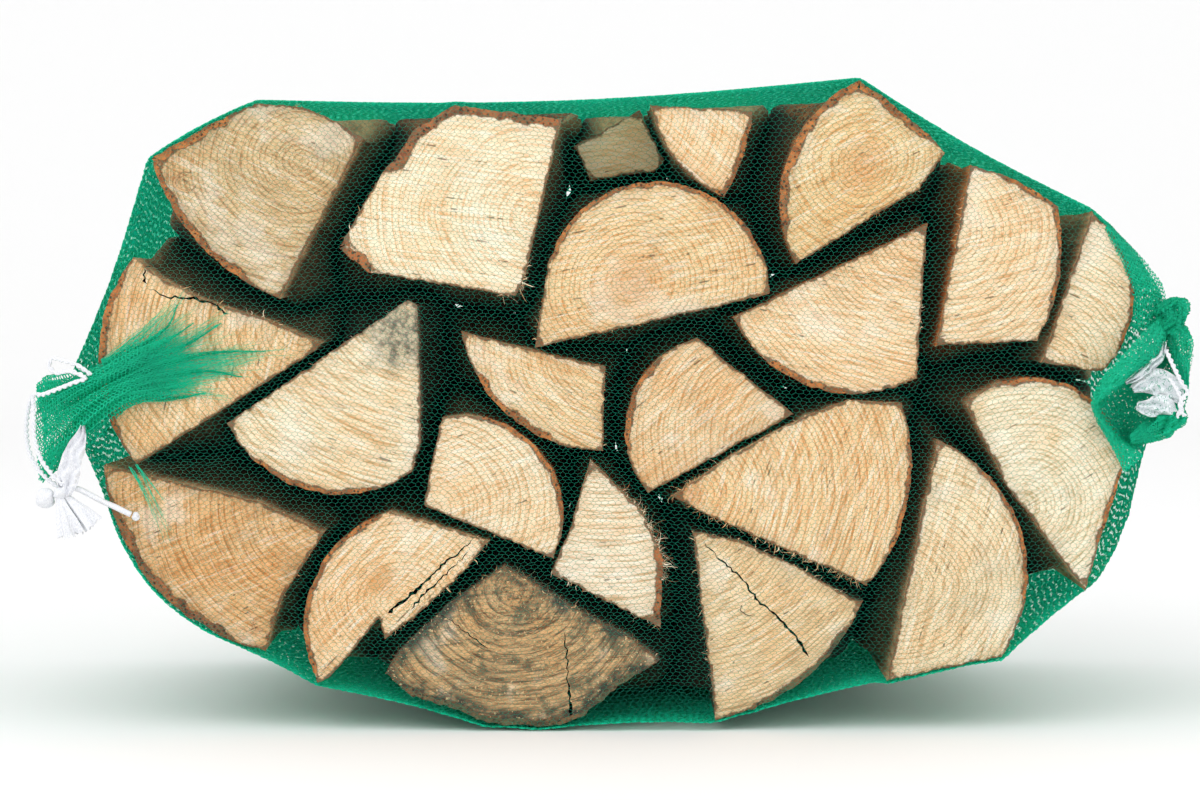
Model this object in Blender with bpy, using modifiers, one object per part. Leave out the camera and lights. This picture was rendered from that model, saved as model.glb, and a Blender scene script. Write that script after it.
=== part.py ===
# A net bag of split firewood: twenty-two split logs lying side by side in a tube of knitted netting.
# The cut ends face -Y and +Y, the bag's gathered mouth is at -X and its sewn bottom end at +X.
# The bag lies on the flat underside of its netting, which is at z = 0.

import math

import bmesh
import bpy
from mathutils import Vector

MM = 0.001
MIDDLE_SHIFT = Vector((0.44, 8.1, 0.0)) * MM   # puts the middle of the bag's box on the origin

# Logs, in millimetres.
FRONT_Y = -140.0          # plane of the foremost cut ends
ARC_STEP = 11.0           # longest straight step along a rounded bark side
WAVE_DEPTH = 0.9          # how far a split side hollows in half way along
SIDE_STATIONS = (0.3, 0.66)

# Netting, in millimetres.
NET_GAP = 1.3             # how far the netting stands off the wood
NET_THICKNESS = 0.4
NET_FOOT_X = (-62.0, 58.0)
NET_FOOT_Y = (-132.0, 128.0)
NECK_POINTS = 20          # ten folds round each gathered end

# Drawstring and tape, in millimetres.
STRING_RADIUS = 1.5
LOOP_RADIUS = 0.9
TAPE_THICKNESS = 0.8

# Each log: name, front outline (x, z, bulge of the side that starts there), recess of its front
# end, length, and how much smaller its back end is. A bulge is twice the height of the arc over
# its chord, outward, so 1 is a half circle. A rounded side is the one that carries the bark.
LOGS = (
    ("split_log_01", ((-227, 287, 0.24), (-163, 217, 0), (-121, 297, 0.08), (-151, 313, 0),
                      (-174, 315, 0.05)), 1, 278, 0.97),
    ("split_log_02", ((-134, 242, 0), (-119, 230, 0), (-45, 218, 0), (-40, 228, 0), (-22, 307, 0),
                      (-75, 314, 0), (-95, 302, 0), (-112, 280, 0)), 0, 272, 0.96),
    ("split_log_03", ((22, 314, 0), (74, 311, 0.1), (59, 267, 0.25)), 4, 270, 0.97),
    ("split_log_04", ((-36, 192, 0), (-31, 224, 0.94), (82, 222, 0), (82, 219, 0)), 0, 276, 0.97),
    ("split_log_05", ((126, 326, 0.07), (170, 290, 0), (157, 272, 0), (95, 234, 0.45)),
     1, 274, 0.96),
    ("split_log_06", ((161, 255, 0), (156, 177, 0.43), (63, 208, 0)), 2, 277, 0.98),
    ("split_log_07", ((182, 284, 0.12), (226, 263, 0.19), (216, 196, 0), (165, 193, 0)),
     2, 272, 0.97),
    ("split_log_08", ((243, 261, 0.47), (249, 180, 0), (218, 185, 0)), 4, 268, 0.98),
    ("split_log_09", ((-236, 238, 0.365), (-235, 134, 0), (-145, 191, 0), (-142, 195, 0),
                      (-169, 207, 0), (-201, 217, 0), (-224, 229, 0)), 1, 275, 0.97),
    ("split_log_10", ((-99, 217, 0), (-94, 214, 0), (-92, 146, 0), (-97, 130, 0.47),
                      (-190, 155, 0)), 1, 279, 0.98),
    ("split_log_11", ((-73, 201, 0), (0, 183, 0), (-1, 140, 0.37)), 6, 266, 0.97),
    ("split_log_12", ((46, 198, 0), (95, 159, 0), (21, 119, 0.56)), 5, 268, 0.96),
    ("split_log_13", ((-83, 158, 0.63), (-26, 86, 0), (-92, 113, 0)), 4, 272, 0.98),
    ("split_log_14", ((-8, 137, 0), (19, 110, 0), (29, 86, 0), (28, 51, 0), (-28, 79, 0),
                      (-18, 103, 0)), 3, 270, 0.96),
    ("split_log_15", ((32, 118, 0), (64, 140, 0), (98, 158, 0), (121, 167, 0), (148, 165, 0.28),
                      (131, 73, 0), (88, 92, 0), (54, 107, 0)), 0, 279, 0.98),
    ("split_log_16", ((43, 101, 0), (68, 96, 0), (96, 83, 0), (124, 67, 0), (130, 66, 0.26),
                      (55, 5, 0)), 2, 276, 0.98),
    ("split_log_17", ((166, 147, 0.48), (199, 37, 0), (141, 25, 0)), 1, 276, 0.97),
    ("split_log_18", ((180, 165, 0.625), (261, 135, 0), (250, 101, 0), (241, 70, 0),
                      (201, 123, 0)), 3, 273, 0.97),
    ("split_log_19", ((-252, 134, 0), (-205, 123, 0), (-172, 115, 0), (-141, 100, 0),
                      (-163, 66, 0), (-171, 40, 0.344)), 2, 274, 0.97),
    ("split_log_20", ((-108, 111, 0.476), (-145, 24, 0), (-139, 26, 0), (-122, 46, 0),
                      (-114, 56, 0), (-111, 46, 0), (-96, 57, 0), (-71, 80, 0), (-58, 96, 0)),
     1, 276, 0.98),
    ("split_log_21", ((-51, 84, 0), (-13, 61, 0), (12, 48, 0), (28, 36, 0), (8, 23, 0),
                      (-10, 8, 0), (-23, 3, 0), (-35, 2, 0), (-59, 3, 0), (-74, 10, 0),
                      (-97, 17, 0), (-111, 29, 0), (-105, 40, 0), (-80, 64, 0)), 0, 279, 0.98),
    ("split_log_22", ((-17, 296, 0), (-3, 303, 0), (18, 315, 0), (24, 301, 0), (31, 288, 0),
                      (25, 282, 0), (7, 280, 0), (-8, 277, 0)), 62, 212, 0.97),
)

# Rings of a gathered end, from the body of the bag outward: centre, half width across,
# half height, depth of the folds, and how far the ring is turned to face the front, in degrees.
MOUTH_RINGS = (
    ((-269, -125, 167), 13, 13, 0.0, 0),
    ((-274, -127, 166), 7, 8, 0.8, 6),
    ((-279, -131, 161), 9, 15, 2.0, 14),
    ((-284, -134, 151), 11, 25, 3.2, 22),
)
BOTTOM_RINGS = (
    ((277, -124, 186), 13, 13, 0.0, 0),
    ((283, -130, 186), 7, 8, 0.8, 35),
    ((279, -142, 185), 13, 19, 2.0, 72),
    ((268, -151, 183), 22, 32, 3.2, 88),
)

# Free end of the drawstring, and the loop that runs round the mouth.
TAIL_ROUTE = ((-268.2, -148.5, 123.0), (-263.0, -148.0, 122.6), (-257.0, -147.0, 119.4),
              (-250.0, -146.0, 115.7), (-243.0, -145.4, 112.4), (-237.0, -145.2, 109.6))
TAIL_STEP = 4.0
KNOT_PLACE = (-272.6, -149.0, 122.0)
SIDE_KNOT_PLACE = (-279.6, -147.0, 117.2)
TAIL_KNOT_PLACE = (-234.0, -145.2, 108.2)
TUFTS = (("tape_tuft_left", (-271.5, -146.5, 117.0), (-263.5, -145.6, 99.0), 4.6),
         ("tape_tuft_right", (-266.5, -147.0, 117.0), (-253.5, -145.6, 105.0), 3.4))
TAPE_ROUTE = ((-259.5, 153.0), (-262.5, 149.0), (-259.0, 144.5), (-264.0, 140.0),
              (-261.0, 135.0), (-267.0, 130.5), (-266.5, 128.0))
TAPE_Y = (-150.0, -143.4)
HEM_ROUTE = ((262.0, 199.0), (268.0, 194.0), (259.0, 190.0), (271.0, 186.0), (260.0, 181.0),
             (274.0, 177.0), (263.0, 172.0), (273.0, 168.0), (266.0, 162.0))
HEM_Y = (-157.5, -151.0)


def clear_scene():
    for obj in list(bpy.data.objects):
        bpy.data.objects.remove(obj, do_unlink=True)


def make_collection(name):
    collection = bpy.data.collections.new(name)
    bpy.context.scene.collection.children.link(collection)
    return collection


def make_material(name, color, roughness):
    material = bpy.data.materials.new(name)
    material.use_nodes = True
    shader = material.node_tree.nodes["Principled BSDF"]
    shader.inputs["Base Color"].default_value = (*color, 1.0)
    shader.inputs["Roughness"].default_value = roughness
    shader.inputs["Metallic"].default_value = 0.0
    return material


def add_object(name, data, material, collection):
    obj = bpy.data.objects.new(name, data)
    obj.data.materials.append(material)
    obj.location = MIDDLE_SHIFT
    collection.objects.link(obj)
    return obj


def mesh_object(name, bm, material, collection, smooth_angle=30.0):
    bmesh.ops.recalc_face_normals(bm, faces=bm.faces)
    mesh = bpy.data.meshes.new(name)
    bm.to_mesh(mesh)
    bm.free()
    mesh.shade_smooth()
    mesh.set_sharp_from_angle(angle=math.radians(smooth_angle))
    return add_object(name, mesh, material, collection)


def area_of(points):
    pairs = zip(points, points[1:] + points[:1])
    return 0.5 * sum(a[0] * b[1] - b[0] * a[1] for a, b in pairs)


def centre_of(points):
    return Vector((sum(p[0] for p in points), sum(p[1] for p in points))) / len(points)


def outline_points(corners):
    # The outline as (x, z) points, each rounded side as an arc through its two corners.
    flat = [(x, z) for x, z, _ in corners]
    outward = 1.0 if area_of(flat) > 0 else -1.0
    points = []
    for index, (x, z, bulge) in enumerate(corners):
        start = Vector((x, z))
        end = Vector(flat[(index + 1) % len(flat)])
        points.append(start)
        if not bulge:
            continue
        chord = end - start
        side = Vector((chord.y, -chord.x)).normalized() * outward
        half_angle = 2.0 * math.atan(bulge)
        radius = 0.5 * chord.length / math.sin(half_angle)
        centre = (start + end) / 2.0 - side * radius * math.cos(half_angle)
        steps = max(2, round(2.0 * half_angle * radius / ARC_STEP))
        for step in range(1, steps):
            turn = half_angle * (2.0 * step / steps - 1.0)
            along = chord.normalized() * radius * math.sin(turn)
            points.append(centre + along + side * radius * math.cos(turn))
    return points


def log_sections(corners, recess, length, back_scale):
    """Rings of the log from its front end to its back end, as lists of 3-D points."""
    outline = outline_points(corners)
    centre = centre_of(outline)
    sections = []
    for share in (0.0, *SIDE_STATIONS, 1.0):
        scale = 1.0 + (back_scale - 1.0) * share
        hollow = WAVE_DEPTH * math.sin(math.pi * share)
        ring = []
        for point in outline:
            arm = point - centre
            flat = centre + arm * scale - arm.normalized() * hollow
            ring.append(Vector((flat.x, FRONT_Y + recess + length * share, flat.y)))
        sections.append(ring)
    return sections


def bridge(bm, first, second):
    count = len(first)
    for index in range(count):
        after = (index + 1) % count
        bm.faces.new((first[index], first[after], second[after], second[index]))


def make_log(name, corners, recess, length, back_scale, material, collection):
    bm = bmesh.new()
    rings = [[bm.verts.new(point * MM) for point in section]
             for section in log_sections(corners, recess, length, back_scale)]
    for first, second in zip(rings, rings[1:]):
        bridge(bm, first, second)
    for ends in (rings[0], rings[-1]):
        bmesh.ops.triangulate(bm, faces=[bm.faces.new(ends)])
    return mesh_object(name, bm, material, collection)


def neck_ring(centre, half_width, half_height, fold, turn):
    """One ring of a gathered end. It stands across X, and a turn swings it to face -Y."""
    swing = math.radians(turn) * (1.0 if centre[0] < 0 else -1.0)
    across = Vector((-math.sin(swing), math.cos(swing), 0.0))
    points = []
    for index in range(NECK_POINTS):
        angle = 2.0 * math.pi * index / NECK_POINTS
        pinch = fold if index % 2 else -fold
        width = (half_width + pinch) * math.cos(angle)
        height = (half_height + pinch) * math.sin(angle)
        points.append(Vector(centre) + across * width + Vector((0.0, 0.0, height)))
    return points


def make_netting(material, collection):
    """A skin drawn tight round the logs, open at the two gathered ends."""
    bm = bmesh.new()
    for _, corners, recess, length, back_scale in LOGS:
        sections = log_sections(corners, recess, length, back_scale)
        for section, shift in ((sections[0], -NET_GAP), (sections[-1], NET_GAP)):
            centre = sum(section, Vector()) / len(section)
            for point in section:
                grown = point + (point - centre).normalized() * NET_GAP
                bm.verts.new((grown + Vector((0.0, shift, 0.0))) * MM)
    for x in NET_FOOT_X:
        for y in NET_FOOT_Y:
            bm.verts.new(Vector((x, y, 0.0)) * MM)
    necks = []
    for rings in (MOUTH_RINGS, BOTTOM_RINGS):
        necks.append([bm.verts.new(point * MM) for point in neck_ring(*rings[0])])
    hull = bmesh.ops.convex_hull(bm, input=bm.verts)
    spare = set(hull["geom_interior"]) | set(hull["geom_unused"])
    bmesh.ops.delete(bm, geom=[v for v in spare if isinstance(v, bmesh.types.BMVert)],
                     context="VERTS")
    for neck in necks:
        ring = set(neck)
        lids = [face for face in bm.faces if set(face.verts) <= ring]
        bmesh.ops.delete(bm, geom=lids, context="FACES_ONLY")
    for neck, rings in zip(necks, (MOUTH_RINGS, BOTTOM_RINGS)):
        inner = neck
        for ring in rings[1:]:
            outer = [bm.verts.new(point * MM) for point in neck_ring(*ring)]
            bridge(bm, inner, outer)
            inner = outer
    bmesh.ops.triangulate(bm, faces=bm.faces)
    loose = [edge for edge in bm.edges if not edge.link_faces]
    bmesh.ops.delete(bm, geom=loose, context="EDGES")
    netting = mesh_object("net_bag", bm, material, collection, smooth_angle=40.0)
    skin = netting.modifiers.new("Skin", "SOLIDIFY")
    skin.thickness = NET_THICKNESS * MM
    skin.offset = -1.0
    return netting


def make_tube(name, route, radius, closed, material, collection):
    curve = bpy.data.curves.new(name, "CURVE")
    curve.dimensions = "3D"
    curve.bevel_depth = radius * MM
    curve.bevel_resolution = 2
    curve.use_fill_caps = True
    spline = curve.splines.new("POLY")
    spline.points.add(len(route) - 1)
    for point, place in zip(spline.points, route):
        point.co = (*(Vector(place) * MM), 1.0)
    spline.use_cyclic_u = closed
    return add_object(name, curve, material, collection)


def smooth_route(corners, step):
    """Points about a step apart on a smooth curve through the given corners."""
    corners = [Vector(corner) for corner in corners]
    ends = [2 * corners[0] - corners[1], *corners, 2 * corners[-1] - corners[-2]]
    points = []
    for before, start, end, after in zip(ends, ends[1:], ends[2:], ends[3:]):
        count = max(1, round((end - start).length / step))
        for index in range(count):
            t = index / count
            points.append(0.5 * (2 * start + (end - before) * t
                                 + (2 * before - 5 * start + 4 * end - after) * t * t
                                 + (3 * start - before - 3 * end + after) * t ** 3))
    return [*points, corners[-1]]


def make_ball(name, place, size, material, collection):
    """A pulled-tight knot: a coarse ball, squeezed along one axis."""
    bm = bmesh.new()
    bmesh.ops.create_icosphere(bm, subdivisions=2, radius=1.0)
    for vert in bm.verts:
        vert.co = Vector(a * b for a, b in zip(vert.co, size)) * MM + Vector(place) * MM
    return mesh_object(name, bm, material, collection, smooth_angle=60.0)


def make_tuft(name, top, end, width, material, collection):
    """A frayed end of the tape: a narrow root that widens into a brush."""
    bm = bmesh.new()
    top, end = Vector(top), Vector(end)
    along = end - top
    turn = along.to_track_quat("Z", "Y").to_matrix()
    rings = []
    for share, spread in ((0.0, 0.35), (0.45, 0.6), (0.8, 1.0), (1.0, 0.75)):
        ring = []
        for index in range(10):
            angle = 2.0 * math.pi * index / 10
            flat = Vector((math.cos(angle), 0.45 * math.sin(angle), 0.0)) * width * spread
            ring.append(bm.verts.new((top + along * share + turn @ flat) * MM))
        rings.append(ring)
    for first, second in zip(rings, rings[1:]):
        bridge(bm, first, second)
    for ends in (rings[0], rings[-1]):
        bm.faces.new(ends)
    return mesh_object(name, bm, material, collection)


def make_strip(name, route, depth, material, collection):
    """A crumpled flat strip: a zigzag line drawn out front to back, then thickened."""
    bm = bmesh.new()
    rows = [[bm.verts.new(Vector((x, y, z)) * MM) for x, z in route] for y in depth]
    for index in range(len(route) - 1):
        bm.faces.new((rows[0][index], rows[0][index + 1], rows[1][index + 1], rows[1][index]))
    strip = mesh_object(name, bm, material, collection)
    solid = strip.modifiers.new("Thickness", "SOLIDIFY")
    solid.thickness = TAPE_THICKNESS * MM
    solid.offset = 0.0
    return strip


def make_drawstring(material, collection):
    """The loop lies just outside the rim of the mouth. One end comes out through the knot."""
    centre, half_width, half_height, fold, turn = MOUTH_RINGS[-1]
    clear = fold + LOOP_RADIUS + NET_THICKNESS
    ring = neck_ring((centre[0] - clear, centre[1], centre[2]), half_width, half_height,
                     0.0, turn)
    make_tube("drawstring_loop", ring, LOOP_RADIUS, True, material, collection)
    make_tube("drawstring_tail", smooth_route(TAIL_ROUTE, TAIL_STEP), STRING_RADIUS, False,
              material, collection)
    make_ball("drawstring_knot", KNOT_PLACE, (3.9, 3.2, 3.6), material, collection)
    make_ball("drawstring_side_knot", SIDE_KNOT_PLACE, (2.9, 2.9, 3.4), material, collection)
    make_ball("drawstring_tail_knot", TAIL_KNOT_PLACE, (2.4, 2.6, 2.9), material, collection)


def main():
    clear_scene()
    parts = make_collection("firewood_bundle")
    wood = make_material("split_wood", (0.72, 0.52, 0.30), 0.85)
    old_wood = make_material("weathered_wood", (0.30, 0.19, 0.10), 0.9)
    green = make_material("green_netting", (0.01, 0.42, 0.25), 0.6)
    white = make_material("white_string", (0.85, 0.85, 0.85), 0.55)
    for name, corners, recess, length, back_scale in LOGS:
        finish = old_wood if name == "split_log_21" else wood
        make_log(name, corners, recess, length, back_scale, finish, parts)
    make_netting(green, parts)
    make_drawstring(white, parts)
    make_strip("tie_tape", TAPE_ROUTE, TAPE_Y, white, parts)
    for name, top, end, width in TUFTS:
        make_tuft(name, top, end, width, white, parts)
    make_strip("bottom_hem", HEM_ROUTE, HEM_Y, white, parts)


main()
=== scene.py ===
import math

import bpy
import numpy as np
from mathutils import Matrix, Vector, geometry


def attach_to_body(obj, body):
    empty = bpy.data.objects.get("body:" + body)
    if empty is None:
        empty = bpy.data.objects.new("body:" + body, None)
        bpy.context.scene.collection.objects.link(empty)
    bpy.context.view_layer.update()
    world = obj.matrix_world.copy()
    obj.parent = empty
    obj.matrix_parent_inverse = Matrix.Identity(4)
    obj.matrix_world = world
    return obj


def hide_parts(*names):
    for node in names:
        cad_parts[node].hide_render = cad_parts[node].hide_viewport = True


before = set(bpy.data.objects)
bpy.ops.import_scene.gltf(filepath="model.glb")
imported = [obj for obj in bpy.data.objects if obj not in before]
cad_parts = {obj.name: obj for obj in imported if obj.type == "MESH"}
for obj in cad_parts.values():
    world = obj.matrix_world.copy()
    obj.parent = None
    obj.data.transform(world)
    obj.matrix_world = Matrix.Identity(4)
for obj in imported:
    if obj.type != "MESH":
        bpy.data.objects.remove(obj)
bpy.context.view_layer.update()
mm = 0.001
shiftX, shiftY = 0.44, 8.1      # from the measured layout to the frame, in mm
frontY = -140.0 + shiftY        # plane of the foremost cut ends, in mm
rng = np.random.default_rng(7)


# Camera, floor and lights

studio = dict(
    aim=(-2.5, frontY, 166.5),   # middle of the picture, on the plane of the cut ends
    distance=1500.0,
    elevation=2.5,
    pictureWidth=600.0,          # mm across the picture on that plane
    floorSize=7000.0,
    coveRadius=900.0,            # where the floor curves up into the wall behind
    skyStrength=1.0,
    panelAim=(0.0, 0.0, 0.15),   # in m, as are the panels' places and sizes
    panels=dict(key_panel=((-1.0, -1.7, 1.8), (2.2, 1.6), 18.0),
                fill_panel=((1.5, -1.6, 1.2), (1.8, 1.8), 8.0)),
)


def makeCamera(s):
    data = bpy.data.cameras.new("camera")
    data.sensor_width = 36.0
    data.lens = data.sensor_width * s["distance"] / s["pictureWidth"]
    data.clip_end = 50.0
    camera = bpy.data.objects.new("camera", data)
    bpy.context.scene.collection.objects.link(camera)
    lift = math.radians(s["elevation"])
    aim = Vector(s["aim"])
    place = aim + Vector((0.0, -math.cos(lift), math.sin(lift))) * s["distance"]
    camera.location = place * mm
    camera.rotation_euler = (math.pi / 2 - lift, 0.0, 0.0)
    bpy.context.scene.camera = camera


makeCamera(studio)


# Shader helpers

class Wire:
    # a value, vector or colour on its way through a node tree
    def __init__(self, tree, socket):
        self.tree, self.socket = tree, socket

    def __add__(self, other):
        return self.tree.maths("ADD", self, other)

    def __sub__(self, other):
        return self.tree.maths("SUBTRACT", self, other)

    def __mul__(self, other):
        return self.tree.maths("MULTIPLY", self, other)

    def __truediv__(self, other):
        return self.tree.maths("DIVIDE", self, other)

    def fract(self):
        return self.tree.maths("FRACT", self)

    def root(self):
        return self.tree.maths("SQRT", self)

    def size(self):
        return self.tree.maths("ABSOLUTE", self)


class Finish:
    # one material, and the nodes that go into it
    def __init__(self, name, roughness=0.7):
        self.material = bpy.data.materials.new(name)
        self.material.use_nodes = True
        self.nodes = self.material.node_tree.nodes
        self.links = self.material.node_tree.links
        self.shader = self.nodes["Principled BSDF"]
        self.shader.inputs["Roughness"].default_value = roughness

    def node(self, kind, settings=None, values=None, output=0):
        made = self.nodes.new(kind)
        for key, value in (settings or {}).items():
            setattr(made, key, value)
        for key, value in (values or {}).items():
            self.feed(made.inputs[key], value)
        return Wire(self, made.outputs[output])

    def feed(self, socket, value):
        if isinstance(value, Wire):
            self.links.new(value.socket, socket)
        else:
            socket.default_value = value

    def maths(self, operation, *values):
        return self.node("ShaderNodeMath", dict(operation=operation), dict(enumerate(values)))

    def place(self):
        return self.node("ShaderNodeTexCoord", output="Object")

    def parts(self, vector):
        split = self.node("ShaderNodeSeparateXYZ", None, {0: vector}).socket.node
        return [Wire(self, out) for out in split.outputs]

    def join(self, x, y, z):
        return self.node("ShaderNodeCombineXYZ", None, {0: x, 1: y, 2: z})

    def noise(self, vector, scale, detail=3.0, roughness=0.55, distortion=0.0):
        return self.node("ShaderNodeTexNoise", None, {
            "Vector": vector, "Scale": scale, "Detail": detail,
            "Roughness": roughness, "Distortion": distortion})

    def dots(self, vector, scale, randomness=1.0):
        return self.node("ShaderNodeTexVoronoi", None, {
            "Vector": vector, "Scale": scale, "Randomness": randomness}, "Distance")

    def attribute(self, name):
        return self.node("ShaderNodeAttribute", dict(attribute_name=name), output="Fac")

    def between(self, value, low, high, first=0.0, last=1.0):
        return self.node("ShaderNodeMapRange", dict(interpolation_type="SMOOTHSTEP"), {
            0: value, 1: low, 2: high, 3: first, 4: last})

    def distance(self, x, y, z):
        return self.node("ShaderNodeVectorMath", dict(operation="LENGTH"), {0: self.join(x, y, z)},
                         "Value")

    def mix(self, share, first, second, blend="MIX"):
        return self.node("ShaderNodeMix", dict(data_type="RGBA", blend_type=blend),
                         {0: share, 6: first, 7: second}, 2)

    def bump(self, height, strength, distance):
        return self.node("ShaderNodeBump", None, {
            "Strength": strength, "Distance": distance, "Height": height})

    def finish(self, **values):
        for key, value in values.items():
            self.feed(self.shader.inputs[key], value)
        return self.material


def tint(red, green, blue):
    # a colour as seen on screen, 0 to 255, turned into the linear values that shaders use
    return tuple(((c / 255 + 0.055) / 1.055) ** 2.4 if c > 10 else c / 255 / 12.92
                 for c in (red, green, blue)) + (1.0,)


# Geometry helpers. Flat points are rows of (x, z) in mm.

def ripple(x, y, seed=0.0):
    # smooth noise from -1 to 1
    i, j = np.floor(x), np.floor(y)
    u, v = x - i, y - j
    u, v = u * u * (3 - 2 * u), v * v * (3 - 2 * v)

    def corner(a, b):
        h = np.sin(a * 127.1 + b * 311.7 + seed * 74.7) * 43758.5453
        return 2 * (h - np.floor(h)) - 1

    low = corner(i, j) * (1 - u) + corner(i + 1, j) * u
    high = corner(i, j + 1) * (1 - u) + corner(i + 1, j + 1) * u
    return low * (1 - v) + high * v


def signedDistance(points, loop):
    # distance to the loop, positive inside it
    start, end = loop, np.roll(loop, -1, axis=0)
    run = end - start
    arm = points[:, None] - start[None]
    share = np.clip((arm * run).sum(-1) / np.maximum((run * run).sum(-1), 1e-9), 0, 1)
    gap = np.linalg.norm(arm - share[..., None] * run[None], axis=-1).min(1)
    y = points[:, 1][:, None]
    cross = (start[:, 1] > y) != (end[:, 1] > y)
    slope = run[:, 0] / np.where(run[:, 1] == 0, 1e-9, run[:, 1])
    hits = cross & (points[:, 0][:, None] < start[:, 0] + slope * (y - start[:, 1]))
    return np.where(hits.sum(1) % 2 == 1, gap, -gap)


def hullOf(points):
    # convex outline, anticlockwise, as row numbers
    order = np.lexsort((points[:, 1], points[:, 0]))

    def half(rows):
        kept = []
        for row in rows:
            while len(kept) > 1:
                a, b = points[kept[-1]] - points[kept[-2]], points[row] - points[kept[-1]]
                if a[0] * b[1] - a[1] * b[0] > 0:
                    break
                kept.pop()
            kept.append(row)
        return kept[:-1]

    return half(order) + half(order[::-1])


def unit(vectors):
    # the same directions, each with length 1
    return vectors / np.maximum(np.linalg.norm(vectors, axis=-1, keepdims=True), 1e-9)


def outwardNormals(loop):
    run = np.roll(loop, -1, axis=0) - np.roll(loop, 1, axis=0)
    return unit(np.stack([run[:, 1], -run[:, 0]], axis=1))


def upright(flat, y):
    # rows of (x, z) made into rows of (x, y, z)
    return np.stack([flat[:, 0], np.broadcast_to(y, len(flat)), flat[:, 1]], axis=1)


def inParts(measure, points, size=800):
    # what measure finds for all points, a few at a time to save memory
    parts = np.array_split(points, max(1, len(points) // size))
    return np.concatenate([measure(part) for part in parts])


def addMesh(name, points, faces, materials, faceMaterials=None, smooth=40.0, attributes=None):
    # points in mm
    mesh = bpy.data.meshes.new(name)
    mesh.from_pydata(np.asarray(points) * mm, [], faces)
    for material in materials:
        mesh.materials.append(material)
    if faceMaterials is not None:
        mesh.polygons.foreach_set("material_index", np.asarray(faceMaterials, dtype=np.int32))
    for key, values in (attributes or {}).items():
        layer = mesh.attributes.new(key, "FLOAT", "POINT")
        layer.data.foreach_set("value", np.asarray(values, dtype=np.float32))
    mesh.update()
    if smooth:
        mesh.shade_smooth()
        mesh.set_sharp_from_angle(angle=math.radians(smooth))
    piece = bpy.data.objects.new(name, mesh)
    bpy.context.scene.collection.objects.link(piece)
    return piece


# Drawstring tail, the one free cord. Its route is the solid's own.

tail = dict(
    route=((-268.2, -148.5, 123.0), (-263.0, -148.0, 122.6), (-257.0, -147.0, 119.4),
           (-250.0, -146.0, 115.7), (-243.0, -145.4, 112.4), (-237.0, -145.2, 109.6)),
    radius=1.4,
    strands=3,
    twist=0.25,        # turns of the strands each 10 mm
    step=0.7,
)


def smoothRoute(corners, step):
    # a smooth curve through the corners, with a point about every step mm
    corners = np.array(corners, dtype=float)
    ends = np.vstack([2 * corners[0] - corners[1], corners, 2 * corners[-1] - corners[-2]])
    points = []
    for a, b, c, d in zip(ends, ends[1:], ends[2:], ends[3:]):
        count = max(1, round(float(np.linalg.norm(c - b)) / step))
        t = (np.arange(count) / count)[:, None]
        points.append(0.5 * (2 * b + (c - a) * t + (2 * a - 5 * b + 4 * c - d) * t * t
                             + (3 * b - a - 3 * c + d) * t ** 3))
    return np.vstack([*points, corners[-1:]])


def sweep(route, radii, sides, phase=None, lobes=0, depth=0.0):
    # a round tube along a route; lobes give it the ridges of twisted strands
    route = np.asarray(route, dtype=float)
    count = len(route)
    radii = np.broadcast_to(np.asarray(radii, dtype=float), (count,))
    along = unit(np.gradient(route, axis=0))
    side = unit(np.cross(along, (0.0, 1.0, 0.13)))      # nearly along y, but never along the route
    other = np.cross(along, side)
    phase = np.zeros(count) if phase is None else phase
    turn = np.arange(sides) * 2 * math.pi / sides
    reach = radii[:, None] * (1 + depth * np.cos(lobes * (turn[None] - phase[:, None])))
    ring = (route[:, None] + side[:, None] * (np.cos(turn)[None] * reach)[..., None]
            + other[:, None] * (np.sin(turn)[None] * reach)[..., None])
    faces = []
    for k in range(count - 1):
        for i in range(sides):
            j = (i + 1) % sides
            faces.append((k * sides + i, k * sides + j, (k + 1) * sides + j, (k + 1) * sides + i))
    faces.append(tuple(range(sides))[::-1])
    faces.append(tuple((count - 1) * sides + i for i in range(sides)))
    return ring.reshape(-1, 3), faces


def stringFinish():
    # white fibres, a little soiled
    f = Finish("white_string", 0.55)
    spot = f.place()
    fibre = f.noise(f.node("ShaderNodeMapping", None, {0: spot, 3: (1.0, 1.0, 0.35)}), 2600, 4)
    soil = f.noise(spot, 160, 3)
    color = f.mix(f.between(fibre, 0.35, 0.7), tint(216, 218, 224), tint(244, 245, 248))
    color = f.mix(f.between(soil, 0.62, 0.8, 0.0, 0.35), color, tint(186, 190, 196))
    return f.finish(**{"Base Color": color, "Normal": f.bump(fibre, 0.5, 0.0003)})


def hemFinish():
    # white cloth with green threads of the netting sewn through it
    f = Finish("white_hem", 0.6)
    spot = f.place()
    weave = f.noise(spot, 1800, 3)
    trail = f.noise(spot, 190, 2, 0.5, 1.2)
    line = f.between((trail - 0.5).size(), 0.026, 0.01)
    color = f.mix(f.between(weave, 0.35, 0.7), tint(212, 218, 222), tint(240, 244, 246))
    color = f.mix(line * 0.8, color, tint(60, 160, 130))
    return f.finish(**{"Base Color": color, "Normal": f.bump(weave, 0.4, 0.0003)})


whiteString = stringFinish()
hemCloth = hemFinish()


def makeTail(s):
    route = smoothRoute(s["route"], s["step"]) + (shiftX, shiftY, 0.0)
    length = float(np.linalg.norm(np.diff(route, axis=0), axis=1).sum())
    along = np.linspace(0.0, length, len(route))
    phase = along / 10.0 * s["twist"] * 2 * math.pi
    radii = s["radius"] * (1.0 + 0.1 * ripple(along / 5.0, 2.0))
    points, faces = sweep(route, radii, 4 * s["strands"], phase, s["strands"], 0.07)
    piece = addMesh("drawstring_end", points, faces, [whiteString], smooth=60.0)
    return piece, route, length


tailPiece, tailRoute, tailLength = makeTail(tail)
print("cord: drawstring end, %.1f mm" % tailLength)


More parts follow.
